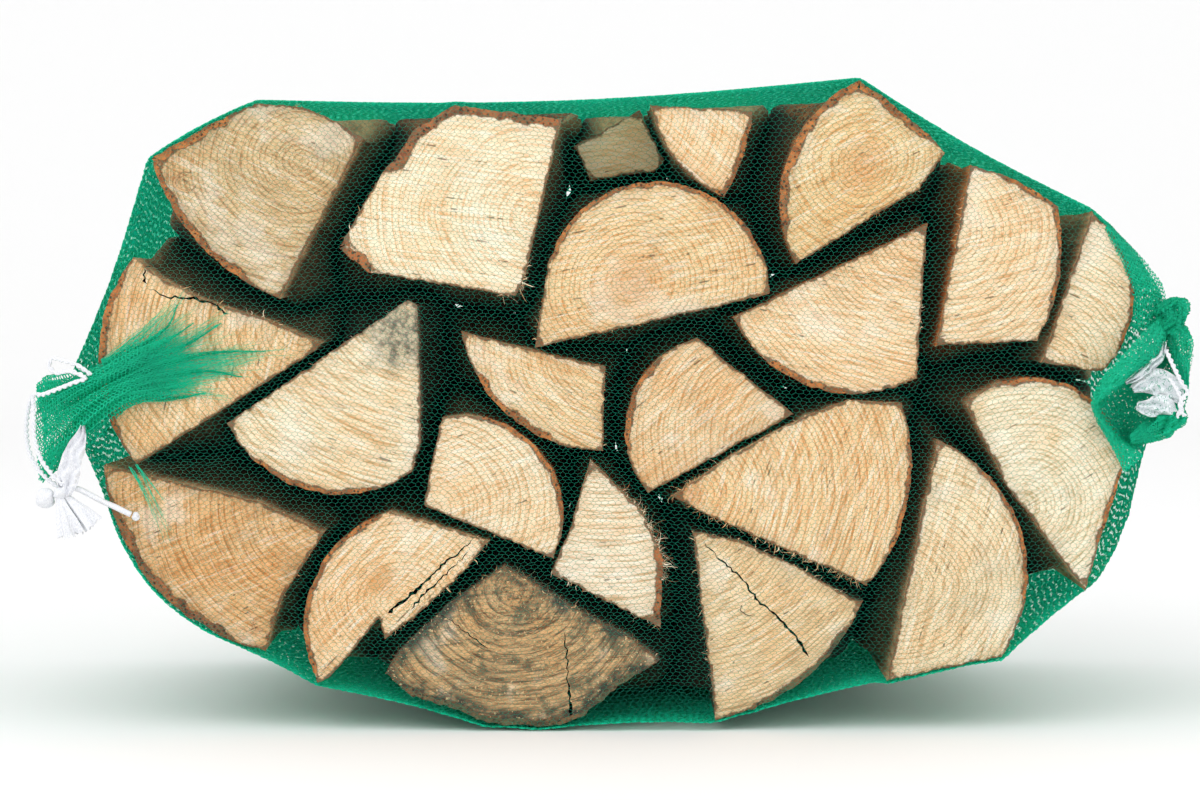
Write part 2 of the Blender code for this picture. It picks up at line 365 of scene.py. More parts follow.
# Wood. Every log: the sectors of its outline that carry bark, in degrees round its middle,
# anticlockwise from the right; how thick the bark is, in mm; the pith (x, z); mm from one growth
# ring to the next; which way the saw ran, in degrees; and colours and dirt of the cut end.

logLooks = {
    "split_log_01": dict(bark=((95, 277),), thick=2.6, pith=(-153, 287), ring=3.4, saw=-26,
                         light=(218, 187, 139), dark=(170, 125, 79), grime=0.45),
    "split_log_02": dict(bark=((36, 152), (200, 224)), thick=3.6, pith=(-36, 259), ring=3.0, saw=-8,
                         light=(252, 234, 202), dark=(226, 183, 135), grime=0.12, rough=1.6),
    "split_log_03": dict(bark=((-77, 32),), thick=1.6, pith=(-3, 312), ring=3.2, saw=-40,
                         light=(247, 214, 171), dark=(211, 152, 89), grime=0.2),
    "split_log_04": dict(bark=((-12, 192),), thick=1.4, pith=(13.5, 226.5), ring=3.3, saw=12,
                         light=(242, 209, 161), dark=(204, 145, 84), grime=0.3, heart=30),
    "split_log_05": dict(bark=((10, 231),), thick=2.8, pith=(128, 284), ring=3.1, saw=28,
                         light=(236, 207, 157), dark=(204, 150, 89), grime=0.25, heart=20),
    "split_log_06": dict(bark=((182, 302),), thick=2.4, pith=(164.5, 254), ring=3.3, saw=-12,
                         light=(248, 216, 174), dark=(210, 157, 102), grime=0.25),
    "split_log_07": dict(bark=((-66, 108),), thick=1.4, pith=(169.5, 251.5), ring=3.6, saw=16,
                         light=(248, 221, 182), dark=(212, 164, 114), grime=0.2),
    "split_log_08": dict(bark=((-80, 90),), thick=1.1, pith=(217, 181.5), ring=2.9, saw=-24,
                         light=(250, 229, 195), dark=(206, 168, 119), grime=0.35),
    "split_log_09": dict(bark=((114, 246),), thick=2.3, pith=(-153, 201.5), ring=3.3, saw=78,
                         light=(242, 206, 158), dark=(194, 139, 78), grime=0.4,
                         ledge=(-208, 225, 5)),
    "split_log_10": dict(bark=((189, 312),), thick=1.5, pith=(-88, 221.5), ring=2.9, saw=-18,
                         light=(248, 227, 193), dark=(204, 164, 115), grime=0.25,
                         decay=(-103, 201, 30)),
    "split_log_11": dict(bark=((151, 303),), thick=2.5, pith=(7, 191.5), ring=3.1, saw=-24,
                         light=(242, 209, 161), dark=(206, 150, 93), grime=0.22),
    "split_log_12": dict(bark=((98, 232),), thick=1.8, pith=(97, 146.5), ring=3.0, saw=38,
                         light=(240, 207, 163), dark=(204, 147, 90), grime=0.3),
    "split_log_13": dict(bark=((-48, 123),), thick=1.5, pith=(-88, 111.5), ring=3.1, saw=20,
                         light=(250, 227, 193), dark=(214, 170, 121), grime=0.15),
    "split_log_14": dict(bark=((-58, -5),), thick=2.6, pith=(-3, 166.5), ring=3.4, saw=4,
                         light=(248, 229, 201), dark=(206, 168, 125), grime=0.15, rough=1.5),
    "split_log_15": dict(bark=((-56, 39),), thick=1.3, pith=(40, 120.5), ring=3.4, saw=70,
                         light=(242, 209, 161), dark=(206, 143, 82), grime=0.2, heart=12),
    "split_log_16": dict(bark=((-116, 7),), thick=1.8, pith=(42, 106.5), ring=2.8, saw=32,
                         light=(240, 209, 163), dark=(192, 151, 105), grime=0.34),
    "split_log_17": dict(bark=((-59, 98),), thick=1.4, pith=(149.5, 76.5), ring=3.2, saw=72,
                         light=(246, 223, 186), dark=(200, 159, 110), grime=0.3),
    "split_log_18": dict(bark=((-70, 139),), thick=1.4, pith=(209, 112.5), ring=3.0, saw=30,
                         light=(248, 231, 201), dark=(196, 168, 123), grime=0.25),
    "split_log_19": dict(bark=((141, 297),), thick=3.6, pith=(-138, 116.5), ring=3.6, saw=24,
                         light=(228, 181, 126), dark=(180, 120, 60), grime=0.5, rough=1.5),
    "split_log_20": dict(bark=((76, 241),), thick=1.6, pith=(-103, 66.5), ring=3.2, saw=46,
                         light=(246, 213, 170), dark=(212, 159, 104), grime=0.12,
                         stain=(-113, 76, 14)),
    "split_log_21": dict(bark=((187, 358),), thick=2.4, pith=(-45.5, 71.5), ring=5.2, saw=6,
                         light=(216, 173, 121), dark=(112, 81, 50), grime=0.9, rough=1.8,
                         mossy=True),
    "split_log_22": dict(bark=(), thick=1.5, pith=(0, 250), ring=3.2, saw=10,
                         light=(252, 226, 178), dark=(228, 184, 128), grime=0.1),
}

# Drying cracks in the front ends: (x, z) along each, and how wide it is at its widest, in mm.
cracks = {
    "split_log_09": (dict(path=((-228, 222), (-219, 218), (-208, 217.5), (-196, 214.5),
                                (-189, 209)), width=1.5),
                     dict(path=((-229.5, 233.5), (-230.5, 229), (-230, 224.5)), width=1.3)),
    "split_log_16": (dict(path=((48, 95.5), (58.5, 85.5), (69, 75.5), (76.5, 65.5), (84, 59.5),
                                (94.5, 49), (101.5, 37)), width=1.5),),
    "split_log_20": (dict(path=((-67, 96), (-73, 90.5), (-81, 84.5), (-90, 76), (-96, 70),
                                (-104, 64), (-109.5, 59.5)), width=1.7),
                     dict(path=((-69, 90.5), (-76, 82.8), (-84, 75.6), (-92, 68), (-98, 61.5)),
                          width=1.1),
                     dict(path=((-145.5, 25.8), (-142, 28.8)), width=0.6)),
    "split_log_21": (dict(path=((-20.5, 50), (-19.5, 35.5), (-19, 21), (-17, 6.5)), width=1.5),
                     dict(path=((-83.6, 60), (-71, 50.5), (-59, 41.5)), width=0.6)),
}


def cutEndFinish(name, look):
    # sawn end grain: growth rings round the pith, streaks left by the saw, pores and grime
    f = Finish(name + "_cut_end", 0.78)
    spot = f.place()
    x, y, z = f.parts(spot)
    low = f.noise(spot, 22, 2)
    wide = f.noise(spot, 9, 2)
    px, pz = look["pith"][0] + shiftX, look["pith"][1]
    dx = x * 1000 - px + (low - 0.5) * 9
    dz = (z * 1000 - pz) * 1.06 + (wide - 0.5) * 12
    away = (dx * dx + dz * dz).root()
    angle = f.maths("ARCTAN2", dz, dx)
    uneven = f.noise(f.join(away * 0.05, px * 0.1, 0.0), 2.2, 2)
    rings = (away + (uneven - 0.5) * 10) / look["ring"]
    line = f.between(rings.fract(), 0.45, 0.93) * f.between(rings.fract(), 0.94, 1.0, 1.0, 0.0)
    fine = f.between((rings * 2.63 + low * 2).fract(), 0.45, 0.95)
    dashes = f.noise(f.join(away * 1.5, angle * 6.5, px), 1.0, 2, 0.6)
    turn = math.radians(look["saw"])
    across = f.join((x * math.cos(turn) + z * math.sin(turn)) * 0.07, y,
                    z * math.cos(turn) - x * math.sin(turn))
    streak = f.noise(across, 760, 3, 0.62, 0.5)
    broad = f.noise(across, 230, 2, 0.5, 0.6)
    pores = f.noise(spot, 1500, 2, 0.6)
    patch = f.noise(spot, 55, 3)
    light, dark = tint(*look["light"]), tint(*look["dark"])
    share = (line * 0.62 * f.between(dashes, 0.3, 0.55, 0.3, 1.0)
             + fine * 0.2 * f.between(dashes, 0.4, 0.6)
             + f.between(dashes, 0.5, 0.68) * 0.3 + f.between(streak, 0.5, 0.64) * 0.45
             + f.between(broad, 0.45, 0.65) * 0.12)
    color = f.mix(share, light, dark)
    golden = f.noise(spot, 34, 4, 0.6)
    color = f.mix(f.between(golden, 0.46, 0.66) * 0.3, color, tint(250, 206, 138), "MULTIPLY")
    color = f.mix(f.between(golden, 0.46, 0.32) * 0.3, color, tint(255, 250, 238))
    # painted highlight: near white along the saw streaks and dashes, less on grimy ends
    highlightShare = 1.0 - look["grime"]
    color = f.mix(f.between(streak, 0.46, 0.34) * 0.5 * highlightShare, color, tint(255, 250, 240))
    color = f.mix(f.between(dashes, 0.42, 0.3) * 0.45 * highlightShare, color, tint(255, 248, 234))
    if look.get("heart"):
        color = f.mix(f.between(away, 2.0, look["heart"], 0.35, 0.0), color,
                      tint(214, 150, 78), "MULTIPLY")
        color = f.mix(f.between(away, 2.0, look["heart"], 0.12, 0.0), color, tint(232, 168, 92))
    speck = f.dots(across, 420)
    mark = f.between(speck, 0.26, 0.08) * f.between(f.noise(spot, 230, 2), 0.5, 0.58)
    color = f.mix(mark * 0.8, color, tint(92, 62, 38))
    grime = f.between(patch, 0.45, 0.75) * look["grime"]
    color = f.mix(grime * 0.5, color, tint(122, 108, 84))
    near = f.attribute("edgeNear")
    color = f.mix(f.between(near, 7.0, 0.0) * (0.1 + 0.35 * look["grime"]), color,
                  tint(120, 96, 66))
    torn = f.noise(spot, 210, 4, 0.7)
    dashed = f.between(near + (torn - 0.5) * 5.0, 1.1, 0.2)
    color = f.mix(dashed * 0.9, color, f.mix(torn, tint(58, 34, 18), tint(140, 88, 44)))
    color = addSpots(f, color, look, x, z, spot, away, angle)
    height = streak * 0.8 - line * 0.2 + pores * 0.3 + dashes * 0.2
    return f.finish(**{"Base Color": color, "Normal": f.bump(height, 0.4, 0.0006)})


def distanceTo(f, x, z, place, squash=1.0):
    # mm from a place (x, z) on a cut end; squash below 1 draws the shape out sideways
    return f.distance(x * (1000 * squash) - (place[0] + shiftX) * squash, 0.0, z * 1000 - place[1])


def addSpots(f, color, look, x, z, spot, away, angle):
    # what only some cut ends have: a decayed corner, a torn ledge, a stain or old dark wood
    if "decay" in look:
        *place, reach = look["decay"]
        off = distanceTo(f, x, z, place)
        edge = f.between(off + f.noise(spot, 90, 4) * 40, reach + 16, reach - 6)
        grey = f.mix(f.between(f.noise(spot, 260, 5, 0.7), 0.4, 0.6), tint(74, 68, 58),
                     tint(188, 172, 142))
        color = f.mix(edge * 0.85, color, grey)
    if "ledge" in look:
        *place, reach = look["ledge"]
        off = distanceTo(f, x, z, place, 0.5)
        torn = f.noise(spot, 120, 5, 0.7)
        edge = f.between(off + torn * 16, reach + 12, reach - 2)
        brown = f.mix(f.between(torn, 0.4, 0.6), tint(120, 82, 48), tint(226, 190, 140))
        color = f.mix(edge * 0.75, color, brown)
    if "stain" in look:
        *place, reach = look["stain"]
        off = distanceTo(f, x, z, place)
        edge = f.between(off + f.noise(spot, 150, 3) * 14, reach + 6, reach - 8)
        color = f.mix(edge * 0.6, color, tint(206, 138, 66))
    if look.get("mossy"):
        moss = f.between(f.noise(spot, 75, 5, 0.7), 0.53, 0.63)
        color = f.mix(moss * 0.7, color, tint(84, 78, 58))
        soot = f.between(f.noise(f.join(away * 0.5, angle * 3.0, 0.0), 1.0, 4, 0.65), 0.5, 0.62)
        color = f.mix(soot * 0.6, color, tint(72, 50, 30))
        edge = f.between(f.attribute("edgeNear"), 9.0, 1.0)
        color = f.mix(edge * f.between(f.noise(spot, 140, 3), 0.35, 0.6), color, tint(56, 52, 40))
        chips = f.between(f.noise(spot, 700, 2), 0.64, 0.7)
        color = f.mix(chips * 0.8, color, tint(224, 190, 140))
    return color


def splitFinish(name, light, dark, soil):
    # the torn sides of a log, with fibres that run along it
    f = Finish(name, 0.82)
    spot = f.place()
    along = f.node("ShaderNodeMapping", None, {0: spot, 3: (1.0, 0.05, 1.0)})
    fibre = f.noise(along, 900, 4, 0.6, 0.2)
    band = f.noise(along, 160, 3, 0.6, 0.3)
    patch = f.noise(spot, 36, 4)
    color = f.mix(f.between(band, 0.36, 0.66) * 0.6 + f.between(fibre, 0.42, 0.66) * 0.4,
                  light, dark)
    color = f.mix(f.between(patch, 0.48, 0.72) * soil, color, tint(84, 66, 48))
    # painted shade: hidden sides turn near black deeper behind the end
    color = f.mix(f.attribute("paintedDepthShade") * 0.96, color, tint(16, 13, 10))
    height = fibre * 0.8 + band * 0.6
    return f.finish(**{"Base Color": color, "Normal": f.bump(height, 0.7, 0.0008)})


def barkFinish(name, light, dark, moss):
    # flaky bark with pits, greener where it is mossy
    f = Finish(name, 0.75)
    spot = f.place()
    around = f.node("ShaderNodeMapping", None, {0: spot, 3: (0.35, 1.6, 0.35)})
    flake = f.noise(around, 330, 5, 0.7, 0.6)
    wide = f.noise(spot, 70, 4)
    pits = f.dots(spot, 520)
    color = f.mix(f.between(flake, 0.4, 0.6), light, dark)
    color = f.mix(f.between(wide, 0.5, 0.68) * 0.7, color, tint(104, 78, 56))
    hole = f.between(pits, 0.46, 0.2) * f.between(f.noise(spot, 300, 2), 0.4, 0.5)
    color = f.mix(hole * 0.85, color, tint(38, 22, 12))
    if moss:
        color = f.mix(f.between(f.noise(spot, 110, 4), 0.42, 0.6) * moss, color,
                      tint(88, 92, 62))
    # painted shade: hidden sides turn near black deeper behind the end
    color = f.mix(f.attribute("paintedDepthShade") * 0.96, color, tint(16, 13, 10))
    height = flake * 0.7 - hole * 0.6 + wide * 0.3
    return f.finish(**{"Base Color": color, "Normal": f.bump(height, 0.8, 0.0012)})


def hollowFinish():
    # the walls of a crack, painted near black as shade
    f = Finish("crack_wall_painted_shade", 0.9)
    shade = f.noise(f.place(), 700, 3)
    return f.finish(**{"Base Color": f.mix(shade, tint(52, 34, 20), tint(18, 10, 6)),
                       "Normal": f.bump(shade, 0.5, 0.0005)})


splitLooks = dict(
    pale=splitFinish("split_side_pale", tint(214, 176, 128), tint(150, 108, 68), 0.5),
    orange=splitFinish("split_side_orange", tint(216, 146, 82), tint(160, 92, 44), 0.25),
    dark=splitFinish("split_side_dark", tint(122, 106, 82), tint(58, 48, 36), 0.9),
)
barkLooks = dict(
    orange=barkFinish("bark_orange", tint(192, 118, 58), tint(138, 80, 38), 0.0),
    red=barkFinish("bark_red", tint(176, 104, 56), tint(114, 64, 36), 0.2),
    mossy=barkFinish("bark_mossy", tint(122, 92, 58), tint(62, 50, 36), 0.7),
)
splitOf = {"split_log_05": "orange", "split_log_07": "orange", "split_log_06": "orange",
           "split_log_10": "dark", "split_log_21": "dark", "split_log_16": "dark"}
barkOf = {"split_log_19": "red", "split_log_16": "mossy", "split_log_21": "mossy",
          "split_log_02": "red", "split_log_14": "red"}
crackWall = hollowFinish()

woodShape = dict(
    step=1.7,            # mm between points round the outline
    rows=26,             # rings along a log
    capGrid=4.5,         # mm between points inside a cut end
    crackDepth=14.0,
    swellStart=46.0,     # mm behind an end where a log starts to thicken towards its neighbours
    swellRun=36.0,
    shadeRun=72.0,       # mm over which painted shade darkens the hidden sides
    splitRough=0.55,
    barkRough=0.75,
    neighbourGap=28.0,   # outlines that come this near each other, in mm, are neighbours
    seamSteps=(0.0, 2.6, -2.6, 5.2, -5.2, 7.8, -7.8),
    lookAround=45.0,     # mm within which a thickened log can meet another
    reachStop=30.0,      # mm that a log can be thickened at most
)


def endRing(node, front):
    # the corners of a solid's front or back end, anticlockwise as (x, z) in mm, and its y
    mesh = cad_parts[node].data
    places = [tuple(round(c / mm, 2) for c in v.co) for v in mesh.vertices]
    level = (min if front else max)(p[1] for p in places)
    steps = set()
    for polygon in mesh.polygons:
        corners = [places[i] for i in polygon.vertices]
        if any(abs(c[1] - level) > 0.02 for c in corners):
            continue
        steps |= set(zip(corners, corners[1:] + corners[:1]))
    follow = {a: b for a, b in steps if (b, a) not in steps}
    start = min(follow)
    ring = [start]
    while follow[ring[-1]] != start:
        ring.append(follow[ring[-1]])
    ring = np.array([(p[0], p[2]) for p in ring])
    return (ring if front else ring[::-1]), level


def refine(ring, step, closed=True):
    # more points along straight edges, at most a step apart
    points = []
    for start, end in zip(ring, np.roll(ring, -1, axis=0) if closed else ring[1:]):
        count = max(1, math.ceil(float(np.linalg.norm(end - start)) / step))
        points.append(start + (end - start) * (np.arange(count) / count)[:, None])
    return np.vstack(points if closed else [*points, ring[-1:]])


def smoothFlags(flags):
    # true and false round an outline, turned into shares that change gradually
    wrap = 4
    padded = np.r_[flags[-wrap:], flags, flags[:wrap]].astype(float)
    return np.convolve(padded, np.ones(5) / 5, "same")[wrap:-wrap]


def inSectors(points, centre, sectors):
    turn = np.degrees(np.arctan2(points[:, 1] - centre[1], points[:, 0] - centre[0]))
    found = np.zeros(len(points), dtype=bool)
    for low, high in sectors:
        found |= (turn - low) % 360 <= high - low
    return found


def crackLoop(path, width):
    # the ragged outline of a crack that narrows towards the start of its path
    line = refine(np.array(path, dtype=float), 2.0, closed=False)
    run = np.gradient(line, axis=0)
    normal = unit(np.stack([run[:, 1], -run[:, 0]], axis=1))
    share = np.linspace(0, 1, len(line))
    half = width / 2 * (0.2 + 0.8 * share ** 0.8) * (0.4 + 1.1 * rng.random(len(line)))
    half[0] = half[-1] = 0.08
    line = line + normal * (rng.random(len(line))[:, None] - 0.5) * 1.3
    return np.vstack([line + normal * half[:, None], (line - normal * half[:, None])[::-1]])


def fillCap(inner, holes, spacing):
    # triangles that fill the inner loop and leave the cracks open
    low, high = inner.min(0), inner.max(0)
    gx, gz = np.meshgrid(np.arange(low[0], high[0], spacing), np.arange(low[1], high[1], spacing))
    gx = gx + (np.arange(gx.shape[0]) % 2)[:, None] * spacing / 2
    grid = np.stack([gx.ravel(), gz.ravel()], axis=1)
    grid = grid[signedDistance(grid, inner) > spacing * 0.45]
    for hole in holes:
        grid = grid[signedDistance(grid, hole) < -spacing * 0.35]
    loops = [inner, *holes]
    points = np.vstack([*loops, grid])
    edges, first = [], 0
    for loop in loops:
        edges += [(first + i, first + (i + 1) % len(loop)) for i in range(len(loop))]
        first += len(loop)
    made, _, triangles, origin, _, _ = geometry.delaunay_2d_cdt(
        [Vector(p) for p in points], edges, [], 0, 1e-5)
    made = np.array([tuple(p) for p in made])
    middles = made[np.array(triangles)].mean(1)
    keep = signedDistance(middles, inner) > 0
    for hole in holes:
        keep &= signedDistance(middles, hole) < 0
    place = {source: index for index, found in enumerate(origin) for source in found}
    return made, [t for t, k in zip(triangles, keep) if k], place, [len(l) for l in loops]


def splinters(spots, normal, tangent, size, y, lift=0.5, links=5):
    # thin torn fibres standing at the edge of a cut end, each a bent, tapered strip
    points, faces = [], []
    for spot, out, along in zip(spots, normal, tangent):
        length = size * (0.3 + 1.2 * rng.random() ** 2)
        lean = rng.normal(0, 1.5)
        curl = rng.normal(0, 2.4)
        width = 0.14 + 0.8 * rng.random() ** 3
        heading = np.array([out[0] + along[0] * lean, -lift * rng.random(),
                            out[1] + along[1] * lean])
        heading /= np.linalg.norm(heading)
        sideways = np.array([along[0], rng.normal(0, 0.4), along[1]])
        place = np.array([spot[0], y + 0.2 + rng.random() * 1.5, spot[1]]) - heading * 0.8
        first = len(points)
        for k in range(links + 1):
            share = k / links
            thin = width * (1 - share) ** 0.6 + 0.05
            points += [place - sideways * thin / 2, place + sideways * thin / 2]
            bend = heading + sideways * curl * share * 0.9
            bend[1] -= 0.25 * share * lift
            place = place + bend / np.linalg.norm(bend) * length / links
        faces += [(first + 2 * k, first + 2 * k + 1, first + 2 * k + 3, first + 2 * k + 2)
                  for k in range(links)]
    slots = [(0, 0, 0, 1, 2)[rng.integers(5)] for _ in spots]
    return points, faces, np.repeat(slots, links).tolist()


def attach(built, points, faces, slots):
    # loose strips join a log's mesh; they count as far from its dark edge, and as free of painted shade
    first = grow(built, points, 9.0, 0.0)
    built["faces"] += [tuple(first + i for i in face) for face in faces]
    built["slots"] += slots


def seamShifts():
    # how far aside the seams round each thickened log lie, in mm, and as far the other way
    # further back: neighbours get different ones, so that no gap runs straight through the stack
    loops = {node: refine(endRing(node, True)[0], 5.0) for node in logLooks}
    found = {}
    for node, loop in loops.items():
        taken = [shift for other, shift in found.items()
                 if np.linalg.norm(loop[:, None] - loops[other][None], axis=-1).min()
                 < woodShape["neighbourGap"]]
        free = [shift for shift in woodShape["seamSteps"] if shift not in taken]
        found[node] = free[0] if free else 0.0
    return found


shifts = seamShifts()


def roomAround(outline, normal, node, side):
    # how far each point of an outline can move out before it comes to a neighbour's share
    others = []
    low = outline.min(0) - woodShape["lookAround"]
    high = outline.max(0) + woodShape["lookAround"]
    for other in logLooks:
        loop = refine(endRing(other, True)[0], 5.0)
        far = (loop.min(0) > high).any() or (loop.max(0) < low).any()
        if other != node and not far:
            others.append((loop, side * shifts[other]))
    reach = np.zeros(len(outline))
    free = np.ones(len(outline), dtype=bool)
    inner = np.zeros(len(outline), dtype=bool)
    for step in np.arange(0.4, woodShape["reachStop"], 0.5):
        moved = outline + normal * step
        own = -signedDistance(moved, outline) + side * shifts[node]
        away = np.array([-signedDistance(moved, loop) for loop, _ in others])
        gap = np.min(away + np.array([weight for _, weight in others])[:, None], axis=0)
        met = free & ((gap < own - 0.1) | (away.min(0) < 1.2))      # 1.2 mm stay free, seam or not
        inner |= met
        free &= ~met & (signedDistance(moved, bagOutline) > 6.0)      # nor nearer to the netting
        reach[free] = step
    reach = np.minimum(reach, (np.roll(reach, 1) + reach + np.roll(reach, -1)) / 3)
    return reach, inner


def logRings(node, look, s):
    # a log's sides: its rings from front to back, the y of each and how dark painted shade makes it;
    # then where the bark is, which way is outward, and how far along the outline each point is
    front, frontLevel = endRing(node, True)
    back, backLevel = endRing(node, False)
    outline = refine(front, s["step"])
    centre = front.mean(0)
    shrink = float(np.ptp(back[:, 0]) / np.ptp(front[:, 0]))
    bark = inSectors(outline, centre, look["bark"])
    seed = int(node[-2:])
    normal = outwardNormals(outline)
    spread = unit(sum(np.roll(normal, k, axis=0) for k in range(-4, 5)))
    along = np.arange(len(outline)) * s["step"]
    crustRough = look.get("rough", 1.0)
    room, inner = roomAround(outline, spread, node, 1)
    backRoom, _ = roomAround(outline, spread, node, -1)
    hidden = smoothFlags(inner)
    rings, levels, shade = [], [], []
    for k in range(s["rows"]):
        t = (k / (s["rows"] - 1)) ** 1.2
        y = frontLevel + (backLevel - frontLevel) * t
        base = centre + (outline - centre) * (1 + (shrink - 1) * t)
        torn = (ripple(along / 2.6, y / 70, seed) * 0.6
                + ripple(along / 7.0, y / 90, seed + 3) * 0.7) * s["splitRough"]
        crust = (ripple(along / 8.0, y / 16, seed + 5) * 0.8
                 + ripple(along / 2.6, y / 7, seed + 9) * 0.5) * s["barkRough"] * crustRough
        depth = min(y - frontLevel, backLevel - y)
        swell = min(1.0, max(0.0, (depth - s["swellStart"]) / s["swellRun"]))
        swell = swell * swell * (3 - 2 * swell)
        move = np.where(bark, crust, torn) - 0.4 - 0.8 * math.sin(math.pi * t)
        move = move * (1 - 0.8 * swell)
        if k in (0, s["rows"] - 1):
            move = move + np.where(bark, 0.25, 0.45) * ripple(along / 1.9, 0.0, seed + 1)
        move = np.minimum(move, -0.05 - 0.1 * swell)      # only thickening goes past the outline
        later = 0.5 - 0.5 * math.cos(2 * math.pi * (t - 0.2) / 0.3)
        reach = (room * (1 - later) + backRoom * later) * swell
        rings.append(base + normal * move[:, None] + spread * reach[:, None])
        levels.append(y)
        # painted shade, growing with depth, on sides that face a neighbour
        shade.append(hidden * min(1.0, depth / s["shadeRun"]) ** 1.5)
    return rings, levels, shade, bark, normal, along


def grow(built, points, near, deep):
    # more points for a log: how near each is to the dark edge, and how dark painted shade makes it;
    # returns the number of the first of them
    first = len(built["points"])
    built["points"] = np.vstack([built["points"], points])
    built["near"] = np.append(built["near"], np.broadcast_to(near, len(points)))
    built["deep"] = np.append(built["deep"], np.broadcast_to(deep, len(points)))
    return first


def addCap(built, ring, y, outer, thick, bark, paths, s):
    # a cut end: end grain inside a band of bark; only the front end is given paths of cracks
    isFront = paths is not None
    inner = ring - outwardNormals(ring) * thick[:, None]
    holes = [crackLoop([(x + shiftX, z) for x, z in crack["path"]], crack["width"])
             for crack in paths or ()]
    made, triangles, place, sizes = fillCap(inner, holes, s["capGrid"])
    first = grow(built, upright(made, y), np.abs(signedDistance(made, inner)), 0.0)
    built["faces"] += [tuple(first + i for i in (t if isFront else t[::-1])) for t in triangles]
    built["slots"] += [0] * len(triangles)
    for i in range(len(ring)):
        j = (i + 1) % len(ring)
        band = (first + place[i], first + place[j], outer + j, outer + i)
        built["faces"].append(band if isFront else band[::-1])
        built["slots"].append(1 if bark[i] and bark[j] else 0)
    start = sizes[0]
    for hole, size in zip(holes, sizes[1:]):
        # the floor of a crack is given full painted shade
        base = grow(built, upright((hole + hole[::-1]) / 2, y + s["crackDepth"]), 0.0, 1.0)
        rim = [first + place[start + i] for i in range(size)]
        built["faces"] += [(rim[i], rim[(i + 1) % size], base + (i + 1) % size, base + i)
                           for i in range(size)]
        built["slots"] += [3] * size
        start += size


def makeLog(node, look, s):
    rings, levels, shade, bark, normal, along = logRings(node, look, s)
    count, last, seed = len(bark), s["rows"] - 1, int(node[-2:])
    built = dict(points=np.empty((0, 3)), near=np.empty(0), deep=np.empty(0), faces=[], slots=[],
                 outline=rings[0], normal=normal, level=levels[0])
    lip = 0.35 + 0.3 * ripple(along / 3.0, 0.0, seed + 2)      # mm that a rim is set back
    for row, (ring, y, paintedShade) in enumerate(zip(rings, levels, shade)):
        # each ring carries its painted shade
        grow(built, upright(ring, y + {0: lip, last: -lip}.get(row, 0.0)), 0.0, paintedShade)
    after = (np.arange(count) + 1) % count
    for a in range(0, last * count, count):
        b = a + count
        built["faces"] += [(a + i, a + j, b + j, b + i) for i, j in zip(range(count), after)]
        built["slots"] += [1 if bark[i] and bark[j] else 2 for i, j in zip(range(count), after)]
    uneven = 1.05 + 0.35 * ripple(along / 6.0, 0.0, seed + 4)
    thick = 0.35 + smoothFlags(bark) * look["thick"] * uneven
    addCap(built, rings[0], levels[0], 0, thick, bark, cracks.get(node, ()), s)
    addCap(built, rings[-1], levels[-1], last * count, thick, bark, None, s)
    return built


# Torn fibres: from (x, z) to (x, z) along an edge, how many, and how long, in mm.
fringes = {
    "split_log_01": (((-161, 317), (-138, 310), 9, 3.2), ((-150, 240), (-125, 288), 14, 2.0)),
    "split_log_02": (((-52, 219), (-38, 226), 26, 6.5), ((-40, 226), (-36, 242), 12, 4.5),
                     ((-133, 242), (-116, 275), 16, 2.8)),
    "split_log_03": (((72, 306), (64, 282), 10, 1.8),),
    "split_log_04": (((-36, 195), (-33, 222), 14, 4.2), ((-30, 193), (75, 217), 30, 1.6)),
    "split_log_05": (((98, 237), (157, 270), 16, 2.2),),
    "split_log_06": (((160, 250), (157, 182), 16, 2.2), ((66, 208), (150, 248), 14, 1.6)),
    "split_log_07": (((180, 270), (176, 235), 24, 3.0),),
    "split_log_09": (((-224, 229), (-150, 200), 34, 4.5),),
    "split_log_10": (((-98, 216), (-190, 156), 22, 2.4), ((-97, 134), (-93, 210), 14, 2.2)),
    "split_log_11": (((-1, 180), (-1, 142), 12, 2.4), ((-70, 200), (-6, 184), 12, 1.6)),
    "split_log_13": (((-90, 113), (-30, 88), 20, 2.6),),
    "split_log_14": (((6, 122), (20, 108), 34, 7.0), ((20, 108), (29, 88), 60, 8.5),
                     ((29, 86), (29, 74), 26, 7.5), ((-27, 79), (26, 53), 40, 3.4)),
    "split_log_15": (((33, 117), (56, 134), 26, 6.5), ((40, 113), (128, 75), 110, 4.6),
                     ((60, 137), (140, 166), 40, 2.6)),
    "split_log_16": (((43, 98), (54, 14), 60, 3.4), ((46, 101), (122, 68), 60, 3.2)),
    "split_log_17": (((164, 140), (143, 32), 22, 2.0),),
    "split_log_18": (((182, 163), (238, 74), 18, 1.8),),
    "split_log_19": (((-250, 134), (-145, 102), 34, 3.0), ((-143, 98), (-168, 45), 16, 2.4)),
    "split_log_20": (((-60, 95), (-108, 47), 36, 3.4), ((-106, 110), (-62, 97), 16, 2.2)),
    "split_log_21": (((-50, 84), (26, 38), 80, 4.6), ((-108, 33), (-54, 82), 36, 3.2)),
}


def addFringe(built, node):
    for start, end, howMany, size in fringes.get(node, ()):
        share = np.sort(rng.random(round(howMany * 1.3)))[:, None]
        spots = np.array(start) * (1 - share) + np.array(end) * share + (shiftX, 0.0)
        gap = np.linalg.norm(spots[:, None] - built["outline"][None], axis=-1)
        chosen = gap.argmin(1)
        spots, out = built["outline"][chosen], built["normal"][chosen]
        tangent = np.stack([-out[:, 1], out[:, 0]], axis=1)
        attach(built, *splinters(spots, out, tangent, size, built["level"]))


# Dry fibres that lie curled on a cut end: (x, z) of the middle, radius, first and last angle in
# degrees, and how wide, in mm.
curls = {
    "split_log_01": ((-209.5, 275.5, 5.6, 60, 330, 1.0), (-209.0, 275.0, 4.4, 75, 300, 0.5)),
    "split_log_19": ((-173.0, 53.5, 4.0, 80, 280, 0.7),),
    "split_log_16": ((72.0, 62.0, 4.5, 150, 300, 0.5),),
}


